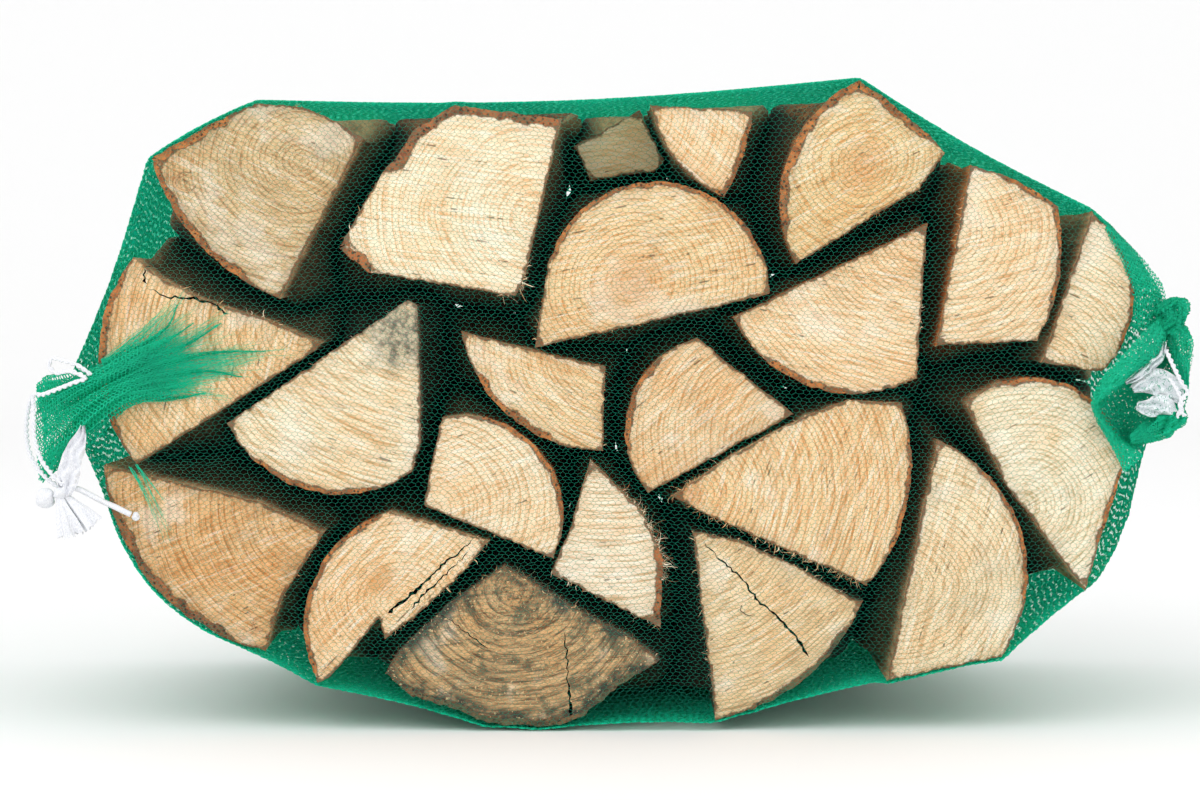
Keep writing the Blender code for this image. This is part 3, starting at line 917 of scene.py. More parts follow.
def addCurls(built, node, count=28):
    for x, z, radius, start, stop, width in curls.get(node, ()):
        share = np.linspace(0, 1, count)
        turn = np.radians(start + (stop - start) * share)
        reach = radius * (1 + 0.12 * ripple(share * 6, 0.0, radius))
        half = width / 2 * np.sin(math.pi * np.clip(share, 0.04, 0.96)) ** 0.4
        rise = built["level"] - 0.15 - 0.45 * np.sin(math.pi * share)
        points = np.concatenate([
            np.stack([x + shiftX + (reach + side * half) * np.cos(turn), rise - 0.25 * (side > 0),
                      z + 0.8 * (reach + side * half) * np.sin(turn)], axis=1) for side in (-1, 1)])
        faces = [(k, k + 1, count + 1 + k, count + k) for k in range(count - 1)]
        attach(built, points, faces, [2] * len(faces))


allFronts = np.vstack([endRing(node, True)[0] for node in logLooks if node != "split_log_22"])
bagOutline = allFronts[hullOf(allFronts)]
logFronts = {}
woodTriangles = 0
for node, look in logLooks.items():
    built = makeLog(node, look, woodShape)
    addFringe(built, node)
    addCurls(built, node)
    logFronts[node] = (built["outline"], built["level"])
    finishes = [cutEndFinish(node, look), barkLooks[barkOf.get(node, "orange")],
                splitLooks[splitOf.get(node, "pale")], crackWall]
    # the second attribute carries the painted shade of the hidden sides
    log = addMesh(node.replace("split_log", "log"), built["points"], built["faces"], finishes,
                  built["slots"], 40.0, dict(edgeNear=built["near"], paintedDepthShade=built["deep"]))
    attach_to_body(log, "root")
    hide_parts(node)
    woodTriangles += sum(len(face) - 2 for face in built["faces"])
print("logs: %d, triangles %d" % (len(logLooks), woodTriangles))


# Netting

net = dict(
    gap=1.0,                        # mm that the netting stands off the wood
    frontCell=(1.6, 1.8),           # half a mesh along the bag, one mesh across it
    sideCell=(1.9, 2.5),
    sideDepth=280.0,                # mm from the front rim to the back rim
    backCell=(2.2, 2.6),
    frontThread=0.14,
    sideThread=1.24,
    backThread=0.95,
    tilt=28.0,                      # how far a flat thread is turned out of the net, degrees
    sag=0.02,                       # share of a free stretch's length that it is drawn in
    sagFrom=24.0,
    skew=34.0,                      # mm that the threads round the sides lean from front to back
    wrap=7.0,                       # mm that the front panel reaches round the rim
    necks=((-269, -125, 167, 13), (277, -124, 186, 13)),
    shoulders=((268, -120, 240), (281, -115, 221), (286, -112, 203), (283, -115, 168),
               (270, -118, 146), (266, -118, 109), (259, -120, 91), (248.5, -124, 74),
               (-266, -127, 188), (-235.5, -122, 271.5)),   # where the netting is held out
)


def netFinish(name, dark, light, shade):
    # thin plastic thread that lets some light through
    f = Finish(name, 0.7)
    f.shader.inputs["Specular IOR Level"].default_value = 0.4
    spot = f.place()
    weave = f.noise(spot, 2400, 2)
    patch = f.noise(spot, 40, 2)
    color = f.mix(f.between(weave, 0.35, 0.7), dark, light)
    color = f.mix(f.between(patch, 0.4, 0.7, 0.0, 0.25), color, shade)
    f.finish(**{"Base Color": color, "Normal": f.bump(weave, 0.3, 0.0002)})
    glow = f.node("ShaderNodeBsdfTranslucent", None, {"Color": light})
    both = f.node("ShaderNodeMixShader", None, {0: 0.3, 1: Wire(f, f.shader.outputs[0]), 2: glow})
    f.feed(f.nodes["Material Output"].inputs["Surface"], both)
    return f.material


# one netting in two copies; the second, darker, is painted shade for the front panel over the cut ends
greenNet = netFinish("green_netting", tint(0, 178, 138), tint(6, 224, 178), tint(0, 140, 108))
shadedNet = netFinish("green_netting_painted_shade", tint(0, 120, 96), tint(0, 168, 134), tint(0, 96, 78))


def threads(grid, keep, width, tilt, zigzag=0.22, last=1.0):
    # grid: nodes of the netting as rows x columns x 3, in mm. Brick-shaped meshes: every row is a
    # thread, and every second node is tied to the row above. The threads are thinner towards the
    # last column, down to a share of their width.
    normal = unit(np.cross(np.gradient(grid, axis=1), np.gradient(grid, axis=0)))
    rows, columns = keep.shape
    i, j = np.meshgrid(np.arange(rows), np.arange(columns), indexing="ij")
    up = (i + j) % 2 == 0
    rise = np.gradient(grid, axis=0)
    grid = grid + rise * np.where(up, zigzag, -zigzag)[..., None]
    starts, ends, normals, widths = [], [], [], []
    thin = np.interp(j / columns, (0.0, 0.45, 1.0), (width, width, width * last))

    def tie(a, b, n, w, good):
        starts.append(a[good])
        ends.append(b[good])
        normals.append(n[good])
        widths.append(w[good])

    tie(grid[:, :-1], grid[:, 1:], normal[:, :-1], thin[:, :-1], keep[:, :-1] & keep[:, 1:])
    tie(grid[:-1], grid[1:], normal[:-1], thin[:-1], keep[:-1] & keep[1:] & up[:-1])
    start, end, normal = np.vstack(starts), np.vstack(ends), np.vstack(normals)
    width = np.concatenate(widths)[:, None]
    run = end - start
    length = np.linalg.norm(run, axis=1, keepdims=True)
    good = length[:, 0] > 0.05
    start, end, normal, run, length, width = (
        v[good] for v in (start, end, normal, run, length, width))
    run = run / length
    side = unit(np.cross(run, normal))
    turn = np.radians(tilt) * (1 - 2 * (np.arange(len(start)) % 2))[:, None]
    arm = (side * np.cos(turn) + normal * np.sin(turn)) * width / 2
    start, end = start - run * width * 0.3, end + run * width * 0.3      # they overlap at nodes
    return np.stack([start - arm, end - arm, end + arm, start + arm], axis=1).reshape(-1, 3)


def addNet(name, pointSets, material=greenNet):
    # four points make one flat thread; built from whole arrays, because there are so many
    points = np.vstack(pointSets)
    count = len(points) // 4
    mesh = bpy.data.meshes.new(name)
    mesh.vertices.add(len(points))
    mesh.vertices.foreach_set("co", (points * mm).astype(np.float32).ravel())
    mesh.loops.add(4 * count)
    mesh.loops.foreach_set("vertex_index", np.arange(4 * count, dtype=np.int32))
    mesh.polygons.add(count)
    mesh.polygons.foreach_set("loop_start", np.arange(0, 4 * count, 4, dtype=np.int32))
    mesh.materials.append(material)
    mesh.update(calc_edges=True)
    piece = bpy.data.objects.new(name, mesh)
    bpy.context.scene.collection.objects.link(piece)
    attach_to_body(piece, "root")
    print("net: %s, triangles %d" % (name, 2 * count))
    return piece


def rimOf(front):
    # the outline of the filled bag at one end, anticlockwise: rows of (x, y, z)
    rim = []
    for node in logLooks:
        ring, level = endRing(node, front)
        if node == "split_log_22" and front:
            continue
        grown = ring + unit(ring - ring.mean(0)) * net["gap"]
        rim.append(upright(grown, level + (-net["gap"] if front else net["gap"])))
    if front:
        turn = np.linspace(0, 2 * math.pi, 24, endpoint=False)
        for x, y, z, radius in net["necks"]:
            rim.append(np.stack([np.full(24, x + shiftX), y + shiftY + radius * np.cos(turn),
                                 z + radius * np.sin(turn)], axis=1))
        rim.append(np.array(net["shoulders"]) + (shiftX, shiftY, 0.0))
    rim = np.vstack(rim)
    return rim[hullOf(rim[:, [0, 2]])]


def evenly(rim, step):
    # an even number of points round a rim, spaced alike as seen from the front
    closed = np.vstack([rim, rim[:1]])
    travel = np.r_[0, np.cumsum(np.linalg.norm(np.diff(closed[:, [0, 2]], axis=0), axis=1))]
    count = 2 * round(travel[-1] / step / 2)
    where = np.arange(count) * travel[-1] / count
    return np.stack([np.interp(where, travel, closed[:, k]) for k in range(3)], axis=1)


def soften(ring, passes=2):
    # rounds the corners of a ring
    for _ in range(passes):
        ring = (np.roll(ring, 1, axis=0) + 2 * ring + np.roll(ring, -1, axis=0)) / 4
    return ring


def sagged(rim, front):
    # netting between two logs is drawn in a little, as far as the wood lets it
    loops = [refine(endRing(node, front)[0], 4.0) for node in logLooks]
    made = []
    for start, end in zip(rim, np.roll(rim, -1, axis=0)):
        run = end - start
        length = math.hypot(run[0], run[2])
        if length < net["sagFrom"]:
            made.append(start[None])
            continue
        t = (np.arange(math.ceil(length / 5.0)) / math.ceil(length / 5.0))[:, None]
        line = start + run * t
        into = np.array([-run[2], run[0]]) / length
        room = np.full(len(line), 1.0)
        for step in np.arange(0.5, 12.0, 0.5):
            moved = line[:, [0, 2]] + into * step
            free = np.min([-signedDistance(moved, loop) for loop in loops], axis=0) > 1.0
            room = np.where(free & (room > step - 1.1), step, room)
        sag = np.minimum(np.minimum(length * net["sag"], 8.0) * np.sin(math.pi * t[:, 0]), room)
        line[:, 0] += into[0] * sag
        line[:, 2] += into[1] * sag
        made.append(line)
    return np.vstack(made)


frontRim, backRim = sagged(rimOf(True), True), sagged(rimOf(False), False)
bagMiddle = np.array([0.0, 165.0])


def nearestOn(points, rim, step):
    # the point of a rim, looked for every step mm, that is nearest to each flat point
    ring = evenly(rim, step)
    loop = ring[:, [0, 2]]
    return inParts(lambda part: ring[
        np.linalg.norm(part[:, None] - loop[None], axis=-1).argmin(1)], points)


def membrane(rim, fronts, sign, cell=2.0, passes=500, slack=0.02):
    # a tight skin over one end of the stack: held at the rim, never behind a cut end.
    # sign is -1 for the front, whose skin lies at lower y than the wood.
    loop = rim[:, [0, 2]]
    low, high = loop.min(0) - 12, loop.max(0) + 12
    xs, zs = np.arange(low[0], high[0], cell), np.arange(low[1], high[1], cell)
    gx, gz = np.meshgrid(xs, zs)
    spots = np.stack([gx.ravel(), gz.ravel()], axis=1)
    inside = inParts(lambda part: signedDistance(part, loop) > 0, spots)
    rimDepth = nearestOn(spots, rim, 4.0)[:, 1] * sign
    floor = np.full(len(spots), -np.inf)
    for outline, level in fronts:
        box = ((spots > outline.min(0) - 3) & (spots < outline.max(0) + 3)).all(1)
        rows = np.nonzero(box)[0]
        on = rows[signedDistance(spots[rows], outline) > -1.6]
        floor[on] = np.maximum(floor[on], sign * level + net["gap"] * 0.55)
    shape = gx.shape
    inside, rimDepth, floor = (v.reshape(shape) for v in (inside, rimDepth, floor))
    depth = np.where(inside, np.maximum(rimDepth, floor), rimDepth)      # as sign * y
    for _ in range(passes):
        spread = (np.roll(depth, 1, 0) + np.roll(depth, -1, 0) + np.roll(depth, 1, 1)
                  + np.roll(depth, -1, 1)) / 4 - slack
        depth = np.where(inside, np.maximum(spread, floor), rimDepth)

    def sample(x, z):
        u = np.clip((x - xs[0]) / cell, 0, len(xs) - 1.001)
        v = np.clip((z - zs[0]) / cell, 0, len(zs) - 1.001)
        i, j = np.floor(u).astype(int), np.floor(v).astype(int)
        a, b = u - i, v - j
        value = ((depth[j, i] * (1 - a) + depth[j, i + 1] * a) * (1 - b)
                 + (depth[j + 1, i] * (1 - a) + depth[j + 1, i + 1] * a) * b)
        return value * sign

    return sample


def endPanel(rim, skin, cell, sign, seed):
    # netting over one end of the stack, carried a little way round the rim
    loop = rim[:, [0, 2]]
    low, high = loop.min(0) - net["wrap"], loop.max(0) + net["wrap"]
    u, v = np.meshgrid(np.arange(low[0], high[0], cell[0]), np.arange(low[1], high[1], cell[1]))
    x = u + 1.1 * ripple(u / 46, v / 38, seed) + 0.65 * ripple(u / 2.3, v / 2.3, seed + 1)
    z = (v + 6.0 * ripple(u / 110, v / 95, seed + 2) + 1.5 * ripple(u / 34, v / 30, seed + 4)
         + 0.65 * ripple(u / 2.7, v / 2.7, seed + 3))
    flat = np.stack([x.ravel(), z.ravel()], axis=1)
    inner = inParts(lambda part: signedDistance(part, loop), flat)
    y = skin(flat[:, 0], flat[:, 1])
    out = inner < 0
    held = nearestOn(flat[out], rim, 0.8)
    flat[out] = held[:, [0, 2]]
    y[out] = held[:, 1] + sign * inner[out]
    return upright(flat, y).reshape(*u.shape, 3), (inner > -net["wrap"]).reshape(u.shape)


frontSkin = membrane(frontRim, [f for n, f in logFronts.items() if n != "split_log_22"], -1)
backRings = [endRing(node, False) for node in logLooks]
backEnds = [(refine(ring, 3.0), level) for ring, level in backRings]
backSkin = membrane(backRim, backEnds, 1)
print("net: skins settled")

panel = endPanel(frontRim, frontSkin, net["frontCell"], -1, 11)
# the front panel has the darker copy of the netting, painted shade
netFront = addNet("net_front", [threads(*panel, net["frontThread"], net["tilt"])], shadedNet)
panel = endPanel(backRim, backSkin, net["backCell"], 1, 23)
netBack = addNet("net_back", [threads(*panel, net["backThread"], net["tilt"])])


def sidePanel(cell):
    # netting round the sides of the bag, from the front rim to the back rim
    front = soften(evenly(frontRim, cell[0]))
    skew = net["skew"] / cell[0]
    turn = np.arctan2(front[:, 2] - bagMiddle[1], front[:, 0] - bagMiddle[0])
    back = evenly(backRim, 0.7)
    backTurn = np.arctan2(back[:, 2] - bagMiddle[1], back[:, 0] - bagMiddle[0])
    order = np.argsort(backTurn)
    back = np.stack([np.interp(turn, backTurn[order], back[order, k], period=2 * math.pi)
                     for k in range(3)], axis=1)
    rows = 2 * round(net["sideDepth"] / cell[1] / 2)
    t = (np.arange(rows) / (rows - 1))[:, None, None]
    grid = front[None] * (1 - t) + soften(back)[None] * t
    count = grid.shape[1]
    slip = np.arange(count)[None] + skew * t[..., 0]
    low = np.floor(slip).astype(int)
    part = (slip - low)[..., None]
    row = np.arange(rows)[:, None]
    grid = grid[row, low % count] * (1 - part) + grid[row, (low + 1) % count] * part
    level = grid[..., 1]
    out = unit(grid[..., [0, 2]] - bagMiddle)
    s = np.arange(count) * cell[0]      # mm round the bag
    along = unit(np.gradient(grid, axis=1))
    slide = 1.1 * ripple(s / 2.1, level / 2.6, 41) + 2.2 * ripple(s / 17, level / 9, 43)
    grid = grid + along * (slide + rng.normal(0, 0.2, slide.shape))[..., None]
    grid[..., 1] += rng.normal(0, 0.32, slide.shape)
    grid[..., 1] += 1.3 * ripple(s / 9, level / 14, 45)
    arch = np.sin(math.pi * t[..., 0])
    bulge = arch * (0.4 * ripple(s / 30, level / 60, 31) + 0.7)
    grid[..., 0] += out[..., 0] * bulge
    grid[..., 2] += out[..., 1] * bulge
    grid[..., 2] = np.maximum(grid[..., 2], 0.25)
    return np.concatenate([grid, grid[:, :1]], axis=1)


grid = sidePanel(net["sideCell"])
keep = np.ones(grid.shape[:2], dtype=bool)
half = grid.shape[1] // 2
netUpper = addNet("net_side_a", [
    threads(grid[:, :half + 1], keep[:, :half + 1], net["sideThread"], net["tilt"])])
netLower = addNet("net_side_b", [
    threads(grid[:, half:], keep[:, half:], net["sideThread"], net["tilt"])])
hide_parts("net_bag")
print("net: round the front rim %.0f mm, round the back rim %.0f mm" % tuple(
    np.linalg.norm(rim - np.roll(rim, 1, axis=0), axis=1).sum() for rim in (frontRim, backRim)))


# Gathered ends of the bag. A station along a gather: x, y, z, half its depth, half its height,
# how deep its folds are, and which way its height runs, in degrees; all in the measured layout.

mouth = dict(
    stations=((-284.5, -133, 148.0, 9.0, 22.0, 0.12, 92), (-279.0, -134, 152.0, 10.0, 19.0, 0.18, 97),
              (-271.0, -136, 158.0, 10.5, 14.5, 0.26, 106), (-260.5, -139, 165.5, 10.0, 11.0, 0.32, 116),
              (-249.0, -142, 172.5, 8.0, 9.0, 0.34, 122), (-238.0, -143.5, 178.0, 5.0, 9.5, 0.3, 118),
              (-229.0, -143.5, 181.5, 2.6, 11.5, 0.22, 112), (-219.0, -143, 184.5, 1.2, 13.5, 0.14, 108),
              (-209.0, -142.6, 187.0, 0.6, 14.5, 0.05, 106)),
    around=96,
    folds=6,
    step=1.2,
    twist=1.1,
    thread=0.52,
    # folds that run out over the log: corners of each, and its width along it
    fingers=(((-250, 180), (-232, 193), (-219, 203), (-214, 214), 6.0),
             ((-248, 178), (-230, 190), (-216, 198), (-206, 205), 6.5),
             ((-246, 177), (-228, 187), (-208, 195), (-192, 205), 7.0),
             ((-244, 175), (-224, 184), (-198, 190), (-170, 191), 7.5),
             ((-244, 173), (-224, 178), (-200, 181), (-182, 178), 7.5),
             ((-246, 170), (-232, 168), (-218, 167), (-200, 170), 8.0)),
    fingerWidths=(1.0, 0.9, 0.6, 0.36, 0.2, 0.1, 0.03),
    # loose threads that spread from the gather: the strip (x, z) that they start from, then
    # places that they run to, and how far they scatter round those
    fan=(((-252, 187), (-246, 164)),
         ((-213, 217, 4), (-207, 209, 5), (-190, 208, 5), (-196, 200, 6), (-162, 191, 6),
          (-176, 193, 6), (-178, 181, 7), (-192, 172, 6), (-186, 186, 12), (-205, 168, 4),
          (-200, 190, 18))),
    creases=((((-238.5, 133), (-236.5, 132)), ((-224, 108, 2), (-221, 97, 3))),
             (((-236, 134), (-234, 134)), ((-219, 112, 2), (-217, 100, 3)))),
)
bottom = dict(
    # surfaces between two edges: (x, z) along each, how far the middle stands out, y, threads
    shoulder=dict(left=((244.5, 259), (252, 237), (258, 217), (260, 199)),
                  right=((254.5, 253), (271, 236), (281, 221), (280.5, 206)), out=9.0, y=-128.0,
                  across=20),
    band=dict(left=((273.5, 206), (267, 200), (261, 193), (249.5, 181), (243, 170.5), (242, 165)),
              right=((274.5, 205), (278, 199), (276, 190.5), (267, 182.5), (256, 174), (246, 167)),
              out=3.2, y=-148.5, across=18),
    lip=dict(left=((242, 165.5), (245, 156.5), (253, 143), (259, 131)),
             right=((246, 167.5), (248, 158.5), (257, 146.5), (268, 139)), out=1.6, y=-144.0,
             across=12),
    pocket=dict(left=((277, 200), (276, 190.5), (266, 182), (255, 173.5), (247, 166), (248, 158),
                      (256, 147.5), (264, 143)),
                right=((281, 199), (286, 190), (289.5, 180), (290, 171), (288, 162), (283, 155),
                       (275, 149), (267, 144)), out=-15.0, y=-145.0, across=44),
    puffs=(((276, -139, 209, 5.0, 4.0, 0.1, 100), (281.5, -140, 214, 8.0, 6.5, 0.2, 20),
            (282, -141, 207, 7.0, 6.0, 0.2, -20), (277, -142, 202, 4.0, 4.0, 0.1, -60)),
           ((280.5, -142, 205, 3.0, 2.6, 0.1, 30), (285.0, -143, 200, 6.0, 5.0, 0.2, 10),
            (286.5, -143, 193, 6.0, 4.4, 0.22, 0), (287.0, -142, 185, 5.0, 3.8, 0.2, 0),
            (288.2, -141, 176, 3.5, 2.6, 0.15, 0), (288.0, -141, 168, 2.6, 2.2, 0.1, 0)),
           ((285.5, -142, 164, 3.0, 2.6, 0.1, 10), (283.0, -143, 158, 6.0, 5.0, 0.22, -20),
            (276.0, -144, 153, 6.5, 5.0, 0.22, -60), (269.0, -144, 149.5, 5.0, 4.0, 0.2, -70),
            (262.0, -143, 147, 2.0, 2.0, 0.1, -80))),
    around=40,
    step=1.1,
    thread=0.5,
)


def loftGrid(stations, around, folds, step, twist=0.0, seed=0.0):
    rows = smoothRoute(stations, step)
    centre = rows[:, :3] + (shiftX, shiftY, 0.0)
    lean = np.radians(rows[:, 6])
    up = np.stack([np.cos(lean), lean * 0, np.sin(lean)], axis=1)
    turn = (np.arange(around + 1) * 2 * math.pi / around)[:, None]
    swirl = np.linspace(0, twist, len(rows))[None] + seed
    wave = (np.sin(folds * turn + 3 * swirl) + 0.6 * np.sin((folds * 2 + 1) * turn - 2 * swirl)
            + 0.5 * np.sin(3 * turn + 5 * swirl))
    reach = 1 + rows[None, :, 5] * wave
    grid = centre[None] + up[None] * (np.cos(turn) * rows[None, :, 4] * reach)[..., None]
    grid[..., 1] -= np.sin(turn) * rows[None, :, 3] * reach
    return grid


def patchGrid(s, step, seed):
    # a puckered surface between a left and a right edge
    left, right = (smoothRoute([(x, s["y"], z) for x, z in s[side]], 0.5)
                   for side in ("left", "right"))
    count = round(max(len(left), len(right)) * 0.5 / step)
    pick = np.linspace(0, 1, count)
    left, right = (np.stack([np.interp(pick, np.linspace(0, 1, len(edge)), edge[:, k])
                             for k in range(3)], axis=1) for edge in (left, right))
    t = np.linspace(0, 1, s["across"])[:, None, None]
    grid = left[None] * (1 - t) + right[None] * t
    arch = np.sin(math.pi * t[..., 0])
    k = np.arange(count)[None]
    pucker = (0.8 * ripple(k / 3.0, t[..., 0] * 3, seed)
              + 0.5 * ripple(k / 7.0, t[..., 0] * 5, seed + 2))
    grid[..., 1] -= arch ** 0.7 * s["out"] + arch * pucker * 1.6
    return grid + (shiftX, shiftY, 0.0)


def wholeGrid(grid, thread, tilt=14.0, last=1.0):
    loose = grid + rng.normal(0, 0.15, grid.shape)
    return threads(loose, np.ones(grid.shape[:2], dtype=bool), thread, tilt, last=last)


def crossways(route):
    # directions across an upright route
    along = unit(np.gradient(route, axis=0))
    return np.stack([-along[:, 2], along[:, 1], along[:, 0]], axis=1)


def fingerGrid(corners, width, widths, seed):
    # a flattened fold that runs out over the logs
    route = smoothRoute([(x, 0.0, z) for x, z in corners], 1.3)
    share = np.linspace(0, 1, len(route))
    side = crossways(route)
    wide = width * np.interp(share, np.linspace(0, 1, len(widths)), widths)
    rows = np.linspace(-0.5, 0.5, 11)[:, None]
    grid = route[None] + side[None] * (rows * wide[None])[..., None]
    fold = np.abs(np.sin(rows * 3 * math.pi + seed)) * (1 - share[None]) * 2.6
    skin = frontSkin(grid[..., 0].ravel() + shiftX, grid[..., 2].ravel()).reshape(fold.shape)
    grid[..., 0] += shiftX
    grid[..., 1] = skin - 0.5 - fold * 1.2
    return grid


def fanThreads(start, spots, howMany, bends=20):
    # loose threads over the logs, each a bent strip that gets thinner
    sets = []
    first, last = np.array(start, dtype=float)
    for k in range(howMany):
        x, z, scatter = spots[k % len(spots)]
        begin = first + (last - first) * rng.random()
        end = np.array([x, z]) + rng.normal(0, 0.45, 2) * scatter
        reach = 0.45 + 0.6 * rng.random() ** 0.7
        middle = (begin + end) / 2 + (np.array([x, z]) - end) * 0.5 + rng.normal(0, 1.2, 2)
        t = np.linspace(0, reach, bends)[:, None]
        line = begin * (1 - t) ** 2 + 2 * middle * t * (1 - t) + end * t * t
        line = line + 0.35 * np.stack([ripple(t[:, 0] * 14, k, seed) for seed in (3, 8)], axis=1)
        run = np.gradient(line, axis=0)
        side = unit(np.stack([-run[:, 1], run[:, 0]], axis=1))
        half = np.linspace(0.17, 0.06, bends)[:, None]
        y = frontSkin(line[:, 0] + shiftX, line[:, 1]) - 0.5 - 1.6 * rng.random() * (1 - t[:, 0])
        left, right = (upright(line + side * half * way + (shiftX, 0.0), y) for way in (-1, 1))
        sets.append(np.stack([left[:-1], left[1:], right[1:], right[:-1]], axis=1).reshape(-1, 3))
    return np.vstack(sets)


mouthSets = []
for layer in range(2):
    grid = loftGrid(mouth["stations"], mouth["around"], mouth["folds"] + 2 * layer,
                    mouth["step"], mouth["twist"], layer * 1.7)
    mouthSets.append(wholeGrid(grid, mouth["thread"], last=0.06))
for number, (*corners, width) in enumerate(mouth["fingers"]):
    for layer in range(2):
        grid = fingerGrid(corners, width * (1 - 0.15 * layer), mouth["fingerWidths"],
                          number + layer * 0.8)
        mouthSets.append(wholeGrid(grid, 0.34, last=0.3))
mouthSets.append(fanThreads(*mouth["fan"], 330))
for crease in mouth["creases"]:
    mouthSets.append(fanThreads(*crease, 7))
netMouth = addNet("net_mouth", mouthSets)

bottomSets = []
for layer in range(3):
    for number, name in enumerate(("shoulder", "band", "lip", "pocket")):
        grid = patchGrid(bottom[name], bottom["step"], number * 3 + layer)
        grid[..., 1] += layer * 0.8
        bottomSets.append(wholeGrid(grid, bottom["thread"]))
    for number, stations in enumerate(bottom["puffs"] if layer < 2 else ()):
        grid = loftGrid(stations, bottom["around"], 4 + layer, bottom["step"], 3.0, number + layer)
        bottomSets.append(wholeGrid(grid, bottom["thread"]))
netBottom = addNet("net_bottom", bottomSets)


# White string, tape and hem

string = dict(
    loops=(((-256, -150, 179.5), (-262, -151, 184), (-269, -151, 186.5), (-274.5, -150, 187.5),
            (-276.5, -149, 184), (-273, -150, 180.5), (-266, -152, 181.5), (-258, -152, 178),
            (-264, -152, 175.5), (-273, -151, 172), (-280, -150, 169.5), (-285, -147, 169),
            (-288, -145, 161), (-289, -144, 152), (-288, -144, 142), (-284, -146, 134),
            (-279, -148, 128.5), (-273, -149, 124)),
           ((-285, -147, 169), (-284.5, -149, 158), (-284, -149.5, 148), (-281, -150, 138),
            (-276, -151, 131), (-270, -151, 125))),
    hemLoops=(((278.0, -150, 192), (281.5, -151, 184), (285.5, -151, 176), (289.0, -150, 171),
               (286.5, -151, 168), (285.0, -151, 164), (287.5, -150, 159)),
              ((280.0, -150, 178), (283.5, -151, 172), (286.0, -151, 165), (284.0, -150, 158.5))),
    radius=0.7,
    knots=((-279.0, -149, 118.0, 4.9, 4.4, 5.0), (-271.5, -151, 120.5, 3.3, 3.2, 2.9)),
    tailKnot=(-234.6, -145.2, 108.6, 1.9, 1.9, 2.3),
    # frayed ends of the tape, as for the gathers
    tassels=(((-271.5, -150.5, 119.0, 1.4, 1.8, 0.05, 0), (-270.5, -151, 114.5, 2.0, 2.6, 0.12, 5),
              (-268.5, -151, 107.0, 3.0, 4.2, 0.2, 8), (-266.5, -150.5, 99.5, 3.6, 5.4, 0.26, 10)),
             ((-268.5, -149, 119.0, 1.4, 1.6, 0.05, 30), (-264.5, -149.5, 115.0, 2.0, 2.6, 0.12, 35),
              (-259.5, -149.5, 110.0, 2.8, 3.8, 0.2, 38), (-255.0, -149, 105.0, 3.2, 4.6, 0.26, 40))),
    tape=((-259.6, 154.5, 1.0), (-260.8, 149.0, 2.9), (-263.2, 143.0, 4.6), (-265.4, 137.0, 5.2),
          (-266.8, 131.0, 5.4), (-267.6, 125.0, 4.8), (-268.0, 119.5, 2.2)),
    hems=((((277.0, 196.0, 1.4), (275.6, 189.0, 2.2), (271.0, 184.0, 2.4), (264.0, 179.0, 2.2),
            (258.0, 175.5, 1.0)), -149.5),
          (((262.0, 172.0, 2.0), (268.0, 175.0, 5.0), (275.0, 175.5, 7.0), (282.0, 171.0, 6.0),
            (286.0, 167.0, 2.5)), -146.5),
          (((264.0, 164.0, 2.0), (270.0, 163.0, 4.5), (277.0, 164.0, 5.5), (283.0, 160.0, 3.0)),
           -147.5)),
)


def shifted(points):
    return np.asarray(points, dtype=float) + (shiftX, shiftY, 0.0)


def knotMesh(x, y, z, a, b, c, seed=0.0):
    # a pulled-tight knot: a lumpy ball with the creases of the strand that is wound into it
    lean, turn = np.meshgrid(np.linspace(0, math.pi, 26), np.linspace(0, 2 * math.pi, 41),
                             indexing="ij")
    wound = np.sin(2.0 * turn + 3.2 * lean + seed)
    reach = 1 + 0.1 * wound - 0.12 * np.exp(-(np.sin(turn + 1.6 * lean + seed) / 0.22) ** 2)
    reach = 1 + (reach - 1) * np.sin(lean)
    grid = np.stack([np.sin(lean) * np.cos(turn) * a * reach, np.sin(lean) * np.sin(turn) * b * reach,
                     np.cos(lean) * c * reach], axis=-1)
    return gridMesh(shifted(grid + (x, y, z)))


def gridMesh(grid):
    # faces between the neighbours of a grid of points
    rows, columns = grid.shape[:2]
    firsts = [r * columns + c for r in range(rows - 1) for c in range(columns - 1)]
    faces = [(k, k + 1, k + columns + 1, k + columns) for k in firsts]
    return grid.reshape(-1, 3), faces


def joinMeshes(parts):
    # several (points, faces) as one
    points, faces = [], []
    for more, sides in parts:
        first = sum(len(p) for p in points)
        points.append(np.asarray(more))
        faces += [tuple(first + i for i in side) for side in sides]
    return np.vstack(points), faces


def tasselMesh(stations, seed):
    # a flared end of tape: deep soft folds, and a ragged edge
    grid = loftGrid(stations, 64, 5, 0.5, 0.5, seed)
    turn = np.arange(grid.shape[0])
    ragged = 1.1 * ripple(turn / 1.7, 0.0, seed + 3) + 0.9 * ripple(turn / 5, 0.0, seed)
    late = np.linspace(0, 1, grid.shape[1])[None] ** 4
    grid[..., 2] -= ragged[:, None] * late * 1.1
    return gridMesh(grid)


def crumpledGrid(stations, y, seed, depth):
    # a crumpled strip: (x, z) along its middle, and half its width
    rows = smoothRoute([(x, 0.0, z, half) for x, z, half in stations], 0.9)
    share = np.linspace(-1, 1, 25)[:, None]
    grid = rows[None, :, :3] + crossways(rows[:, :3])[None] * (share * rows[None, :, 3])[..., None]
    k = np.arange(len(rows))[None] * 0.9
    fold = (np.sin(share * 7 + ripple(k / 7, 0.0, seed) * 2.5) * 0.7
            + ripple(share * 2.6 + seed, k / 3.2, seed) * 0.9
            + ripple(share * 5 + seed, k / 1.7, seed + 1) * 0.5)
    grid[..., 1] = y + fold * depth
    return shifted(grid.reshape(-1, 3)).reshape(grid.shape)


def dress(name, built, node, material=whiteString):
    # a piece of string or cloth in the place of its solid
    piece = addMesh(name, *built, [material], smooth=60.0)
    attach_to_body(piece, "root")
    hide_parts(node)
    return piece


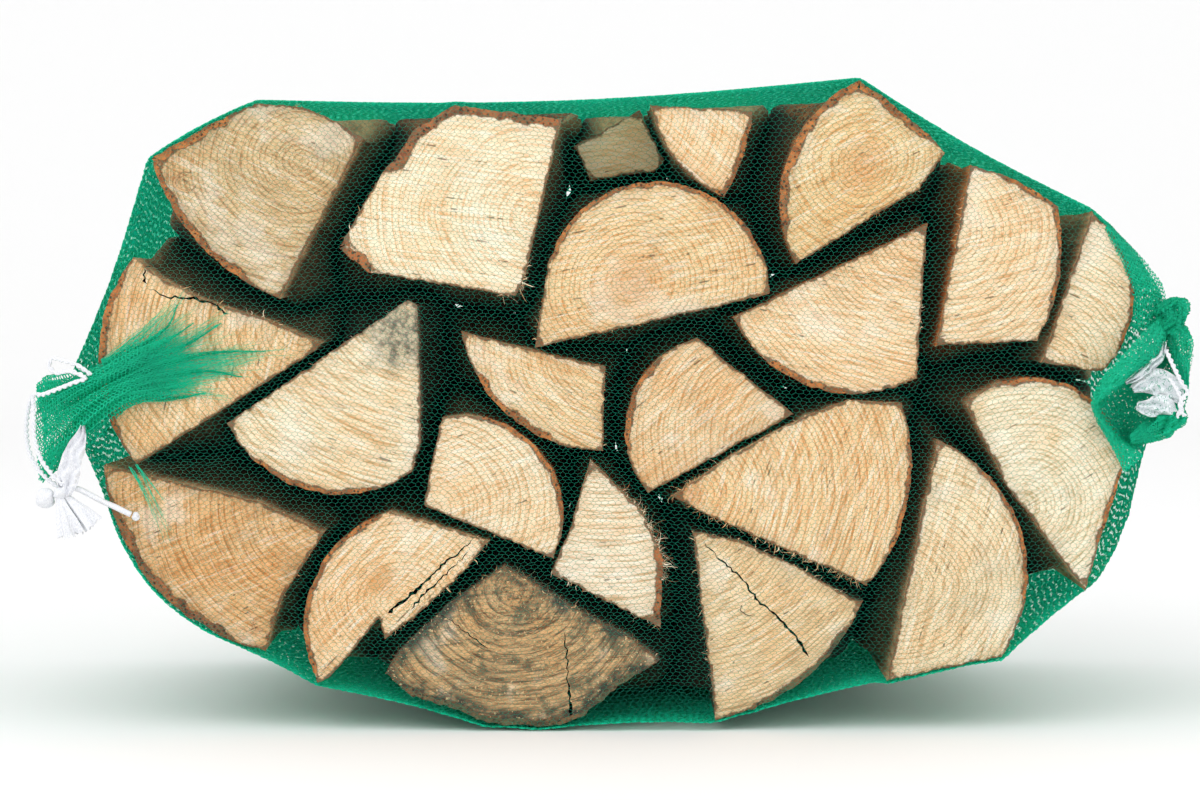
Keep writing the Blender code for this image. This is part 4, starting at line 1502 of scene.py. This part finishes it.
loopParts = []
for corners in string["loops"] + string["hemLoops"]:
    route = shifted(smoothRoute(corners, 0.8))
    along = np.arange(len(route)) * 0.8
    for turn in (0.0, math.pi):
        swirl = along * 1.1 + turn
        offset = np.stack([np.cos(swirl), 0.4 * np.sin(swirl), np.sin(swirl)], axis=1)
        twined = route + offset * 0.62
        loopParts.append(sweep(twined, string["radius"], 7))
dress("drawstring_round_mouth", joinMeshes(loopParts), "drawstring_loop")
for node, place in zip(("drawstring_side_knot", "drawstring_knot"), string["knots"]):
    dress(node + "_wound", knotMesh(*place), node)
for seed, (side, stations) in enumerate(zip(("left", "right"), string["tassels"])):
    node = "tape_tuft_" + side
    dress(node + "_frayed", tasselMesh(stations, seed), node)
tapePiece = dress("tie_tape_crumpled", gridMesh(crumpledGrid(string["tape"], -151, 3, 1.5)),
                  "tie_tape")
hemParts = [gridMesh(crumpledGrid(stations, y, 5 + y, 1.7)) for stations, y in string["hems"]]
hemPiece = dress("hem_crumpled", joinMeshes(hemParts), "bottom_hem", hemCloth)
dress("drawstring_end_knot", knotMesh(*string["tailKnot"], seed=1.0), "drawstring_tail_knot")
print("string, tape and hem done")


# Floor and light

def makeStage(s):
    size, radius = s["floorSize"], s["coveRadius"]
    profile = [(-size / 2, 0.0), (size / 2 - radius, 0.0)]
    profile += [(size / 2 - radius + radius * math.sin(a), radius * (1 - math.cos(a)))
                for a in np.linspace(0.1, math.pi / 2, 12)]
    profile.append((size / 2, size / 2))
    points = [(x, y, z) for x in (-size / 2, size / 2) for y, z in profile]
    count = len(profile)
    faces = [(k, count + k, count + k + 1, k + 1) for k in range(count - 1)]
    f = Finish("studio_floor", 0.9)
    f.finish(**{"Base Color": (0.93, 0.93, 0.93, 1.0)})
    stage = addMesh("studio_floor", points, faces, [f.material])
    world = bpy.data.worlds.new("studio")
    bpy.context.scene.world = world
    world.use_nodes = True
    world.node_tree.nodes["Background"].inputs[0].default_value = (1.0, 1.0, 1.0, 1.0)
    world.node_tree.nodes["Background"].inputs[1].default_value = s["skyStrength"]
    bpy.context.scene.view_settings.view_transform = "Standard"


def addPanel(name, place, aim, size, power):
    data = bpy.data.lights.new(name, "AREA")
    data.shape = "RECTANGLE"
    data.size, data.size_y = size
    data.energy = power
    light = bpy.data.objects.new(name, data)
    light.location = place
    light.rotation_euler = (Vector(aim) - Vector(place)).to_track_quat("-Z", "Y").to_euler()
    bpy.context.scene.collection.objects.link(light)


makeStage(studio)
for name, (place, size, power) in studio["panels"].items():
    addPanel(name, place, studio["panelAim"], size, power)
print("studio: floor and %d light panels" % len(studio["panels"]))

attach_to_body(tailPiece, "root")
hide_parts("drawstring_tail")
